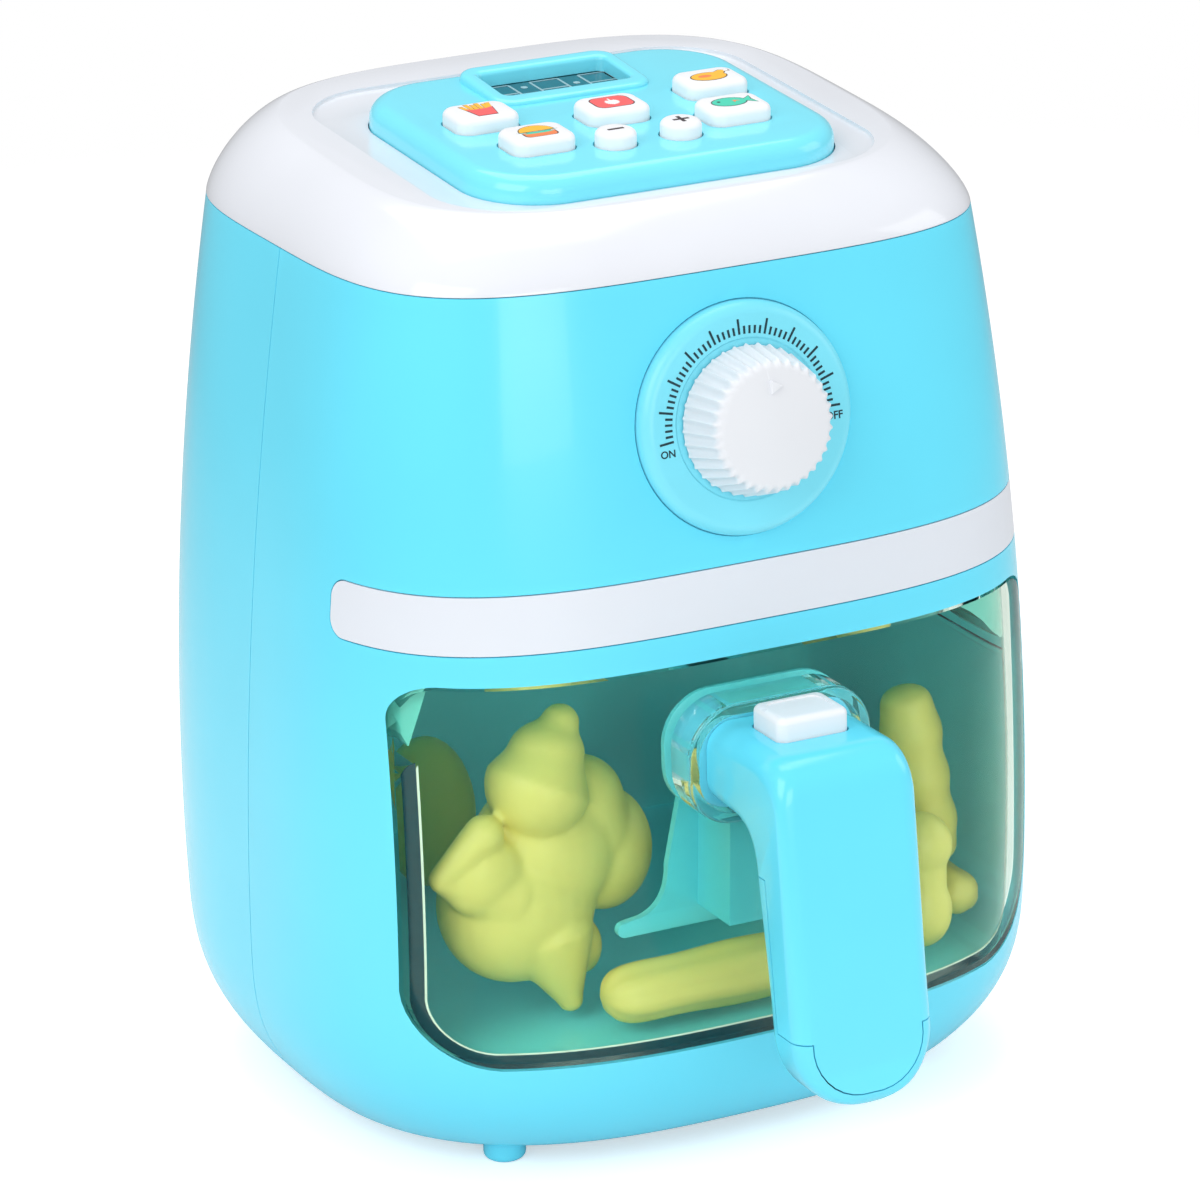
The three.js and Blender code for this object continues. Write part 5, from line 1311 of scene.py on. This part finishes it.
def tracks(tree, place):
    lanes = add(tree, "TexBrick", Vector=place, Scale=330.0, Mortar_Size=0.035)
    return add(tree, "Math", "MULTIPLY", i0=lanes.outputs["Fac"], i1=0.6).outputs[0]


def cone_rings(tree, place):
    middle = add(tree, "Mapping", Vector=place, Location=(0, -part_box("speaker")[0].y - 0.02, 0))
    rings = tree.nodes.new("ShaderNodeTexWave")
    rings.wave_type = "RINGS"
    rings.rings_direction = "Z"
    rings.inputs["Scale"].default_value = 90.0
    tree.links.new(middle.outputs[0], rings.inputs["Vector"])
    return rings.outputs["Fac"]


def sleeve_end(tree, place):
    along = add(tree, "SeparateXYZ", Vector=place).outputs["X"]
    return add(tree, "Math", "GREATER_THAN", i0=along, i1=0.014).outputs[0]


dressed(patterned("coated_board", (20, 92, 58), (70, 150, 100), 0.35, 0, tracks), "circuit_board")
dressed(patterned("speaker_cone", (26, 27, 30), (62, 64, 68), 0.5, 0.3, cone_rings), "speaker")
cell_sleeve = patterned("cell_sleeve", (52, 56, 66), (190, 120, 66), 0.3, 0.6, sleeve_end)
dressed(cell_sleeve, "battery_1", "battery_2", "battery_3")
dressed(grey_rubber, "keypad_mat")
dressed(dark_moulding, "dial_switch", "display_module")
dressed(white_acetal, "dial_spindle", "dial_clip")
dressed(blue_box, "battery_box")

# Play food: hollow pieces blow-moulded in soft yellow PVC, satin, each in one piece.
# They lie loose on the floor of the basket.
yellow_food = plastic("yellow_food", (234, 216, 128), 0.42, ripple=0.12, scuffs=0.06, grain=0.05, glow=0.15)
FLOOR = SILL + TUB_INSIDE[2] + GAP


def limb(start, end, start_radius, end_radius, steps=24):
    """A round limb between two points, swelling or tapering, with round ends"""
    start, end = Vector(start), Vector(end)
    length = (end - start).length
    rings = [(-start_radius * math.cos(a), start_radius * math.sin(a)) for a in QUARTER]
    rings += [(length + end_radius * math.sin(a), end_radius * math.cos(a)) for a in QUARTER]

    def place(turn, level):
        along, radius = rings[level]
        angle = 2 * math.pi * turn / steps
        return radius * math.cos(angle), radius * math.sin(angle), along

    turn_to = (end - start).to_track_quat("Z", "Y").to_matrix().to_4x4()
    return moved(form(steps, len(rings) - 1, place), turn_to, Matrix.Translation(start))


def ball(centre, sizes, lean=0):
    bm = bmesh.new()
    bmesh.ops.create_uvsphere(bm, u_segments=28, v_segments=18, radius=1)
    return moved(bm, Matrix.Diagonal((*sizes, 1)), Matrix.Rotation(lean, 4, "Y"), Matrix.Translation(centre))


def softened(bm, voxel, rounds):
    """The joined lumps skinned over and relaxed, as they leave a mould"""
    holder = loose(bm)
    skin = holder.modifiers.new("skin", "REMESH")
    skin.mode = "VOXEL"
    skin.voxel_size = voxel
    relax = holder.modifiers.new("relax", "SMOOTH")
    relax.factor = 0.5
    relax.iterations = rounds
    return taken_from(holder)


def food(name, bm, *matrices):
    return piece(name, moved(bm, *matrices), "drawer", "play_food", yellow_food,
                 stands_for=[name.replace("food_", "play_")], crease=80)


def chicken():
    """A plucked bird on its side: rump and breast, neck, thigh, wing and tail"""
    lumps = [
        ball((-5, 0, -9), (19.5, 14, 20)),
        ball((2, 0, 2), (18, 13, 18)),
        limb((-1, -5, 20), (5.8, -3, 33), 12.5, 4.6),
        ball((1.5, -4, 26.5), (9.2, 8.5, 8)),
        limb((12, 1, 12), (14, 2, 4), 10.5, 11),
        ball((18.5, 3, -2), (12, 11, 15)),
        limb((-17, -9, 12), (-28, -9, 3.5), 4.8, 2.8),
        ball((-17, -8, 1.5), (10, 6, 9), -0.5),
        limb((-28, -9, 3), (-12, -4, -4), 2.8, 10.5),
        limb((1, -4, -19), (4, -8, -33), 11, 3.2),
        ball((10, -2, -23), (5, 5, 7)),
    ]
    return softened(joined(lumps[0], *lumps[1:]), 0.9, 5)


def stick(length, radius, swell, knobs, flutes=0, depth=0, steps=48, levels=44):
    """A round-ended stick with swellings along it and flutes round it"""
    def place(turn, level):
        along = -math.cos(level / levels * math.pi)
        reach = max(1 - abs(along) ** 9, 0) ** 0.5
        angle = 2 * math.pi * turn / steps
        wave = 1 - swell * (1 - math.cos(along * knobs * math.pi)) / 2
        wave *= 1 - depth * (0.5 + 0.5 * math.cos(flutes * angle)) ** 2
        out = radius * reach * wave
        return out * math.cos(angle), out * math.sin(angle), along * length / 2
    return form(steps, levels, place)


ALONG_X = Matrix.Rotation(math.pi / 2, 4, "Y")
food("food_chicken", chicken(), shift(-41, -48, FLOOR + 36.6))
food("food_cob", stick(70, 7.8, 0.08, 2, flutes=7, depth=0.07), ALONG_X, shift(0, -69.2, FLOOR + 7.8))
food("food_bean", stick(46, 7.6, 0.1, 4), Matrix.Rotation(-0.17, 4, "Y"), shift(62, -45, 70.9))
drumstick = joined(
    ball((0, 0, 9), (7.4, 7.4, 7.8)),
    ball((0, 0, -7.4), (7.2, 7.2, 9.4)),
    limb((0, 0, -4), (0, 0, 6), 6, 6),
)
food("food_drumstick", softened(drumstick, 0.8, 3), shift(53, -61.5, FLOOR + 17))
food("food_nugget", stick(40, 5.9, 0.1, 2, flutes=5, depth=0.06), TO_FRONT, shift(67.4, -38, 42.7))
food("food_egg", ball((0, 0, 0), (11.7, 13, 19)), shift(-31.2, 34.1, FLOOR + 19))
food("food_bun", ball((0, 0, 0), (21.5, 19.5, 25.5)), shift(43.5, -4, FLOOR + 25.5))
